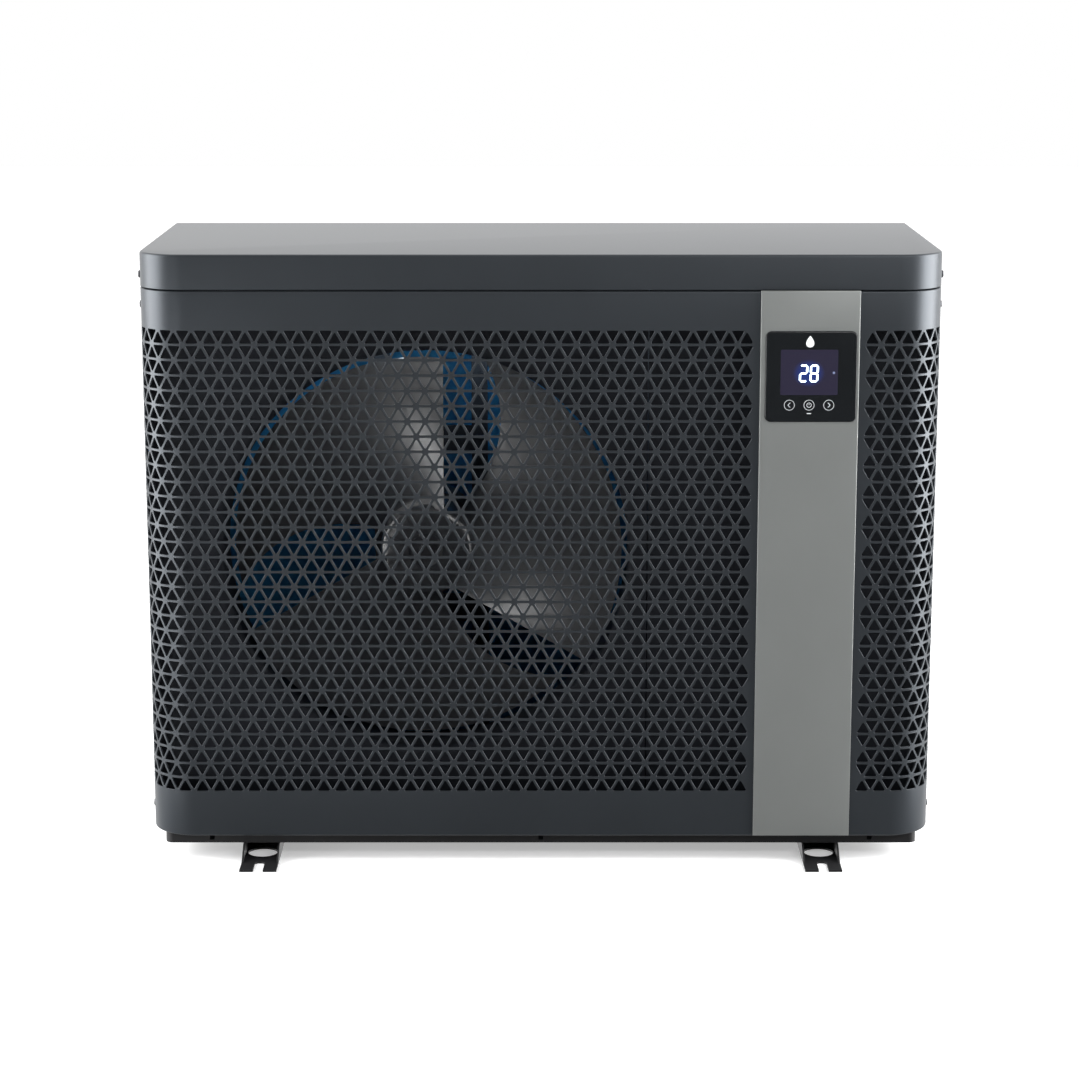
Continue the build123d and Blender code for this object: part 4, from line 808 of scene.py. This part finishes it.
def add_blade(sheet, turn):
    """Blade sheet that thins towards its edges, with rounded rims."""
    radial_steps, chord_steps = 26, 44
    thick = 2.2 * MM
    rows = blade_grid(turn, radial_steps, chord_steps)
    normals = grid_normals(rows)

    def half_thickness(i, j):
        s = j / chord_steps
        t = i / radial_steps
        fullness = min(1.0, 4.5 * math.sqrt(max(s * (1 - s), 0)) / 2)
        return thick * (0.25 + 0.75 * fullness * (1 - 0.35 * t))

    front, back = [], []
    for i, row in enumerate(rows):
        front.append([tuple(p + normals[i][j] * half_thickness(i, j)) for j, p in enumerate(row)])
        back.append([tuple(p - normals[i][j] * half_thickness(i, j)) for j, p in enumerate(row)])
    for i in range(radial_steps):
        for j in range(chord_steps):
            sheet.face([front[i][j], front[i + 1][j], front[i + 1][j + 1], front[i][j + 1]])
            sheet.face([back[i][j + 1], back[i + 1][j + 1], back[i + 1][j], back[i][j]])
    rim = [(0, j) for j in range(chord_steps)] + [(i, chord_steps) for i in range(radial_steps)]
    rim += [(radial_steps, j) for j in range(chord_steps, 0, -1)]
    rim += [(i, 0) for i in range(radial_steps, 0, -1)]
    for (ai, aj), (bi, bj) in zip(rim, rim[1:] + rim[:1]):
        sheet.face([front[ai][aj], front[bi][bj], back[bi][bj], back[ai][aj]])


def add_hub_ribs(sheet, face_y):
    """Radial ribs that stand on the front face of the hub."""
    ribs = 9
    inner, outer, half = 26 * MM, 56 * MM, 1.2 * MM
    root_y, top_y = face_y + 3 * MM, face_y - 1.2 * MM
    for index in range(ribs):
        angle = 2 * math.pi * index / ribs
        c, s = math.cos(angle), math.sin(angle)
        corners = [(FAN_X + r * c - t * s, FAN_Z + r * s + t * c)
                   for r, t in ((inner, -half), (outer, -half), (outer, half), (inner, half))]
        upper = [(x, top_y, z) for x, z in corners]
        sheet.loft([[(x, root_y, z) for x, z in corners], upper])
        sheet.face(upper)


def hub_profile(front, back):
    """Radius and depth of the hub's section: rim, web behind, rounded front face, recess, shaft bore."""
    recess = front + 2.6 * MM
    web = [(15, back), (16, front + 20 * MM), (52, front + 12 * MM), (58, front + 16 * MM), (59, back)]
    rim = [(62, back), (62, front + 10 * MM), (60.5, front + 5 * MM), (57, front + 2 * MM)]
    face = [(52, front + 0.4 * MM), (40, front), (24, front), (22, front + 2 * MM),
            (18, recess), (14, recess)]
    bore = [(6.2, recess), (6.2, back), (15, back)]
    return [(radius * MM, y) for radius, y in web + rim + face + bore]


def make_fan():
    count = 64
    blades = Sheet()
    for index in range(BLADES):
        add_blade(blades, index * 360 / BLADES)
    piece = new_piece("fan_blades", blades.points, blades.faces, "fan", 50)
    paint(piece, "fan_plastic")
    front, back = -128 * MM, -52 * MM
    hub = Sheet()
    lathe(hub, FAN_X, FAN_Z, hub_profile(front, back), count)
    add_hub_ribs(hub, front)
    hub_piece = new_piece("fan_hub", hub.points, hub.faces, "fan", 35)
    paint(hub_piece, "fan_plastic")
    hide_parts("fan_impeller")


# ---- shroud with its bell mouth ----
RING_R = 270 * MM
LIP_R = 12 * MM
LIP_STEPS = 8
RING_WALL = 2.0 * MM
DECK_T = 1.5 * MM
PAN_X = -502 * MM
ABOVE_PAN_Z = 53 * MM


def lip_rings(radius, steps, count):
    """Rings of the bell mouth's rounded lip, at a radius of its section."""
    y0 = SHROUD_LOW[1]
    rings = []
    for i in steps:
        angle = math.radians(180 + 90 * i / LIP_STEPS)
        rings.append(ring((FAN_X, y0 + LIP_R + radius * math.sin(angle), FAN_Z),
                          RING_R + LIP_R + radius * math.cos(angle), count))
    return rings


def reach_side(step, low, high):
    """How many steps reach the low or the high side, whichever lies ahead."""
    tiny = 1e-9
    if abs(step) <= tiny:
        return 1 / tiny
    return (high if step > 0 else low) / step


def reach_edge(point, low_x, high_x, low_z, high_z):
    """Where the line from the fan's centre through a point meets the deck's edge."""
    dx, dz = point[0] - FAN_X, point[2] - FAN_Z
    scale = min(reach_side(dx, low_x - FAN_X, high_x - FAN_X), reach_side(dz, low_z - FAN_Z, high_z - FAN_Z))
    return (FAN_X + dx * scale, SHROUD_LOW[1], FAN_Z + dz * scale)


def make_shroud():
    count = 120
    y0, y1 = SHROUD_LOW[1], SHROUD_HIGH[1]
    edges = (PAN_X, SHROUD_HIGH[0], SHROUD_LOW[2], SHROUD_HIGH[2])
    sheet = Sheet()
    inner = [ring((FAN_X, y1, FAN_Z), RING_R + RING_WALL, count), ring((FAN_X, y1, FAN_Z), RING_R, count)]
    inner += lip_rings(LIP_R, range(LIP_STEPS + 1), count)
    sheet.loft(inner)
    outer = snap_corners([reach_edge(p, *edges) for p in inner[-1]], *edges, y0)
    outer_back = [(x, y + DECK_T, z) for x, y, z in outer]
    back_inner = ring((FAN_X, y0 + RING_WALL, FAN_Z), RING_R + LIP_R, count)
    outside = [back_inner] + lip_rings(LIP_R - RING_WALL, range(LIP_STEPS - 1, -1, -1), count)
    outside.append(ring((FAN_X, y1, FAN_Z), RING_R + RING_WALL, count))
    sheet.loft([inner[-1], outer])
    sheet.loft([outer, outer_back])
    sheet.loft([outer_back, back_inner])
    sheet.loft(outside)
    if SHROUD_LOW[0] < PAN_X:
        sheet.box((SHROUD_LOW[0], y0, ABOVE_PAN_Z), (PAN_X, y0 + DECK_T, SHROUD_HIGH[2]))
    shroud = new_piece("shroud_deck", sheet.points, sheet.faces, "housing", 40)
    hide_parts("shroud_plate")
    # The deck takes the near-black zinc_sheet colour, painted shade for the inside of the cabinet
    return paint(shroud, "zinc_sheet")


def snap_corners(points, x0, x1, z0, z1, y):
    """Moves the outline point nearest to each corner of the deck into that corner."""
    points = list(points)
    for cx in (x0, x1):
        for cz in (z0, z1):
            best = min(range(len(points)),
                       key=lambda i: math.hypot(points[i][0] - cx, points[i][2] - cz))
            points[best] = (cx, y, cz)
    return points


# ---- finned coil ----
def coil_path(depth):
    """Points along the L of the coil at a depth from its outside, front end of the left leg first."""
    corner = Vector((COIL_LOW[0] + COIL_BEND_R, COIL_HIGH[1] - COIL_BEND_R))
    radius = COIL_BEND_R - depth
    steps = 12
    points = [(COIL_LOW[0] + depth, COIL_LOW[1])]
    for i in range(steps + 1):
        angle = math.radians(180 - 90 * i / steps)
        points.append((corner.x + radius * math.cos(angle), corner.y + radius * math.sin(angle)))
    return points + [(COIL_HIGH[0], COIL_HIGH[1] - depth)]


def coil_station(distance):
    """Place on the coil's outside and the direction inwards, at a distance along its L from the front."""
    cx, cy = COIL_LOW[0] + COIL_BEND_R, COIL_HIGH[1] - COIL_BEND_R
    left_length = cy - COIL_LOW[1]
    arc_length = COIL_BEND_R * math.pi / 2
    if distance < left_length:
        return Vector((COIL_LOW[0], COIL_LOW[1] + distance)), Vector((1, 0))
    if distance < left_length + arc_length:
        angle = math.pi - (distance - left_length) / COIL_BEND_R
        outward = Vector((math.cos(angle), math.sin(angle)))
        return Vector((cx, cy)) + outward * COIL_BEND_R, -outward
    return Vector((cx + distance - left_length - arc_length, COIL_HIGH[1])), Vector((0, -1))


def coil_length():
    straight = COIL_HIGH[0] - COIL_LOW[0] + COIL_HIGH[1] - COIL_LOW[1] - 2 * COIL_BEND_R
    return straight + COIL_BEND_R * math.pi / 2


def make_fins():
    """Individual corrugated fins across the whole L."""
    pitch = 1.9 * MM
    thick = 0.2 * MM
    wave = 1.15 * MM
    folds = 6
    margin = wave + thick
    count = int((coil_length() - 2 * margin) / pitch)
    sheet = Sheet()
    for index in range(count + 1):
        outer, inward = coil_station(margin + index * pitch)
        side = Vector((-inward.y, inward.x))
        middle = []
        for fold in range(folds + 1):
            swing = wave if fold % 2 else -wave
            middle.append(outer + inward * (COIL_T * fold / folds) + side * swing)
        outline = [p - side * thick / 2 for p in middle] + [p + side * thick / 2 for p in reversed(middle)]
        low = [(p.x, p.y, COIL_LOW[2]) for p in outline]
        high = [(p.x, p.y, COIL_HIGH[2]) for p in outline]
        sheet.loft([low, high])
        sheet.face(high)
        sheet.face(low[::-1])
    fins = new_piece("coil_fins", sheet.points, sheet.faces, "housing")
    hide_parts("evaporator_fins")
    paint(fins, "fin_blue")
    make_coil_tubes()


def tube_along(sheet, points, radius, count=8):
    """Round tube along a polyline in one plane, with mitred joints."""
    path = [Vector(p) for p in points]
    sections = []
    up = Vector((0, 0, 1))
    for i, p in enumerate(path):
        ahead = path[min(i + 1, len(path) - 1)] - path[max(i - 1, 0)]
        ahead.normalize()
        across = ahead.cross(up)
        if across.length < 1e-6:
            across = Vector((1, 0, 0))
        across.normalize()
        rise = across.cross(ahead)
        sections.append([tuple(p + across * radius * math.cos(2 * math.pi * k / count)
                               + rise * radius * math.sin(2 * math.pi * k / count)) for k in range(count)])
    sheet.loft(sections)
    sheet.face(sections[0][::-1])
    sheet.face(sections[-1])


def make_coil_tubes():
    """Tubes through the fins from end to end, sheathed by the fins' collars."""
    rows = 28
    tube_r = 4.75 * MM
    sheet = Sheet()
    step = (COIL_HIGH[2] - COIL_LOW[2]) / rows
    for depth in (COIL_T / 4, COIL_T * 3 / 4):
        path = coil_path(depth)
        for row in range(rows):
            z = COIL_LOW[2] + (row + 0.5) * step
            tube_along(sheet, [(x, y, z) for x, y in path], tube_r)
    tubes = new_piece("coil_tubes", sheet.points, sheet.faces, "housing", 60)
    paint(tubes, "fin_blue")


# ---- wire guards ----
def wire_places(low, high, count):
    """Centres of evenly spaced wires between two edges."""
    return [low + WIRE_R + (high - low - 2 * WIRE_R) * i / count for i in range(count + 1)]


def finish_guard(sheet, name, node):
    guard = new_piece(name, sheet.points, sheet.faces, "housing", 60)
    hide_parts(node)
    paint(guard, "guard_wire")


def make_guards():
    """Welded wire guards behind and left of the coil, the long wires on the outside."""
    low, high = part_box("rear_coil_guard")
    across_y = (low[1] + high[1]) / 2 + WIRE_R * 0.6
    upright_y = (low[1] + high[1]) / 2 - WIRE_R * 0.2
    sheet = Sheet()
    for z in wire_places(low[2], high[2], 40):
        tube_along(sheet, [(low[0] + WIRE_R, across_y, z), (high[0] - WIRE_R, across_y, z)], WIRE_R)
    for x in wire_places(low[0], high[0], 9):
        tube_along(sheet, [(x, upright_y, low[2]), (x, upright_y, high[2])], WIRE_R)
    finish_guard(sheet, "rear_wire_guard", "rear_coil_guard")
    low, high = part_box("left_coil_guard")
    across_x = (low[0] + high[0]) / 2 - WIRE_R * 0.4
    upright_x = (low[0] + high[0]) / 2 + WIRE_R * 0.3
    sheet = Sheet()
    for z in wire_places(low[2], high[2], 32):
        tube_along(sheet, [(across_x, low[1], z), (across_x, high[1], z)], WIRE_R)
    for y in wire_places(low[1], high[1], 5):
        tube_along(sheet, [(upright_x, y, low[2]), (upright_x, y, high[2])], WIRE_R)
    finish_guard(sheet, "left_wire_guard", "left_coil_guard")


# ---- CAD nodes that keep their shape ----
BEVELLED = ("base_pan", "foot_rail_left", "foot_rail_right", "left_side_panel", "right_side_panel",
            "rear_panel", "access_cover", "side_grip_left", "side_grip_right", "rear_post", "partition")


def soften_cad_edges():
    """Small rounded edges on folded sheet and moulded nodes, smooth shading on all of them."""
    for name, node in frame["nodes"].items():
        smooth(node, 30)
        if name in BEVELLED:
            bevel = node.modifiers.new("edge", "BEVEL")
            bevel.width = 0.5 * MM
            bevel.segments = 2
            bevel.limit_method = "ANGLE"
            bevel.angle_limit = math.radians(40)
            bevel.harden_normals = True


# ---- floor, light and camera ----
def area_light(name, place, target, size_x, size_y, power, colour=(1, 1, 1)):
    light = bpy.data.lights.new(name, "AREA")
    light.shape = "RECTANGLE"
    light.size = size_x
    light.size_y = size_y
    light.energy = power
    light.color = colour
    lamp = bpy.data.objects.new(name, light)
    bpy.context.scene.collection.objects.link(lamp)
    lamp.location = place
    lamp.visible_camera = False
    lamp.rotation_euler = (Vector(target) - Vector(place)).to_track_quat("-Z", "Y").to_euler()


def make_floor():
    size = 12.0
    drop = 0.0005
    corners = [(-size, -size, -drop), (size, -size, -drop), (size, size, -drop), (-size, size, -drop)]
    mesh = bpy.data.meshes.new("floor")
    mesh.from_pydata(corners, [], [(0, 1, 2, 3)])
    floor = bpy.data.objects.new("floor", mesh)
    bpy.context.scene.collection.objects.link(floor)
    material = finish_material("floor_paper", (0.9, 0.9, 0.9), 0.8, 0.0, 90.0, 0.05, 0.01)
    shader = material.node_tree.nodes["Principled BSDF"]
    shader.inputs["Emission Color"].default_value = (1, 1, 1, 1)
    shader.inputs["Emission Strength"].default_value = 0.35
    mesh.materials.append(material)
    floor.visible_glossy = False


def smooth_ramp(tree, value, start, end, low, high):
    """Eased step from a low to a high value as the input goes from start to end."""
    ramp = tree.nodes.new("ShaderNodeMapRange")
    ramp.interpolation_type = "SMOOTHSTEP"
    ramp.inputs["From Min"].default_value = start
    ramp.inputs["From Max"].default_value = end
    ramp.inputs["To Min"].default_value = low
    ramp.inputs["To Max"].default_value = high
    tree.links.new(value, ramp.inputs["Value"])
    return ramp.outputs["Result"]


def make_world():
    """Studio surround: bright behind and above the object, dim in front; the camera sees plain white."""
    world = bpy.data.worlds.new("studio")
    world.use_nodes = True
    tree = world.node_tree
    surround = tree.nodes["Background"]
    coords = tree.nodes.new("ShaderNodeTexCoord")
    split = tree.nodes.new("ShaderNodeSeparateXYZ")
    tree.links.new(coords.outputs["Generated"], split.inputs["Vector"])
    depth = smooth_ramp(tree, split.outputs["Y"], -0.55, 0.8, 0.02, 1.5)
    height = smooth_ramp(tree, split.outputs["Z"], 0.1, 1.0, 0.0, 0.5)
    total = tree.nodes.new("ShaderNodeMath")
    total.operation = "ADD"
    tree.links.new(depth, total.inputs[0])
    tree.links.new(height, total.inputs[1])
    surround.inputs["Color"].default_value = (1, 1, 1, 1)
    tree.links.new(total.outputs["Value"], surround.inputs["Strength"])
    plain = tree.nodes.new("ShaderNodeBackground")
    plain.inputs["Color"].default_value = (1, 1, 1, 1)
    plain.inputs["Strength"].default_value = 1.0
    seen = tree.nodes.new("ShaderNodeLightPath")
    mix = tree.nodes.new("ShaderNodeMixShader")
    tree.links.new(seen.outputs["Is Camera Ray"], mix.inputs["Fac"])
    tree.links.new(surround.outputs["Background"], mix.inputs[1])
    tree.links.new(plain.outputs["Background"], mix.inputs[2])
    tree.links.new(mix.outputs["Shader"], tree.nodes["World Output"].inputs["Surface"])
    bpy.context.scene.world = world


def make_lights():
    """Side lights for the corners, three lamps reflected by the blades, one lamp inside on the coil."""
    make_world()
    target = (0, 0, 0.45)
    fan = (FAN_X, -0.1, FAN_Z)
    area_light("overhead", (0, 0.9, 2.6), (0, 0.1, 0.6), 3.0, 1.4, 10)
    area_light("left_side", (-2.5, -0.25, 0.9), target, 1.8, 2.2, 130)
    area_light("right_side", (2.5, -0.25, 0.9), target, 1.8, 2.2, 180)
    area_light("blade_left", (-1.25, -1.0, 0.14), fan, 0.5, 0.2, 5.5)
    area_light("blade_front", (-1.3, -2.45, 0.4), fan, 0.5, 0.4, 5)
    area_light("blade_top", (0.95, -2.1, 1.45), fan, 1.0, 0.4, 14)
    plenum_y = (SHROUD_HIGH[1] + COIL_LOW[1] - 0.05) / 2
    coil_top = (FAN_X, COIL_HIGH[1], FAN_Z + 0.14)
    area_light("coil_glow", (FAN_X, plenum_y, COIL_HIGH[2] - 0.06), coil_top, 0.5, 0.06, 1.1,
               (0.75, 0.9, 1.0))


def make_camera():
    camera = bpy.data.cameras.new("camera")
    camera.sensor_width = 36.0
    camera.lens = 94.2
    pitch = 11.83
    view = bpy.data.objects.new("camera", camera)
    bpy.context.scene.collection.objects.link(view)
    view.location = (-0.0017, -3.827, 1.196)
    view.rotation_euler = (math.radians(90 - pitch), 0, 0)
    bpy.context.scene.camera = view
    bpy.context.scene.view_settings.view_transform = "Standard"


paint_cad_nodes()
soften_cad_edges()
make_front_panel()
make_lid()
make_strip()
make_glass()
make_display()
make_key_marks()
make_fan()
make_shroud()
make_fins()
make_guards()
make_floor()
make_lights()
make_camera()
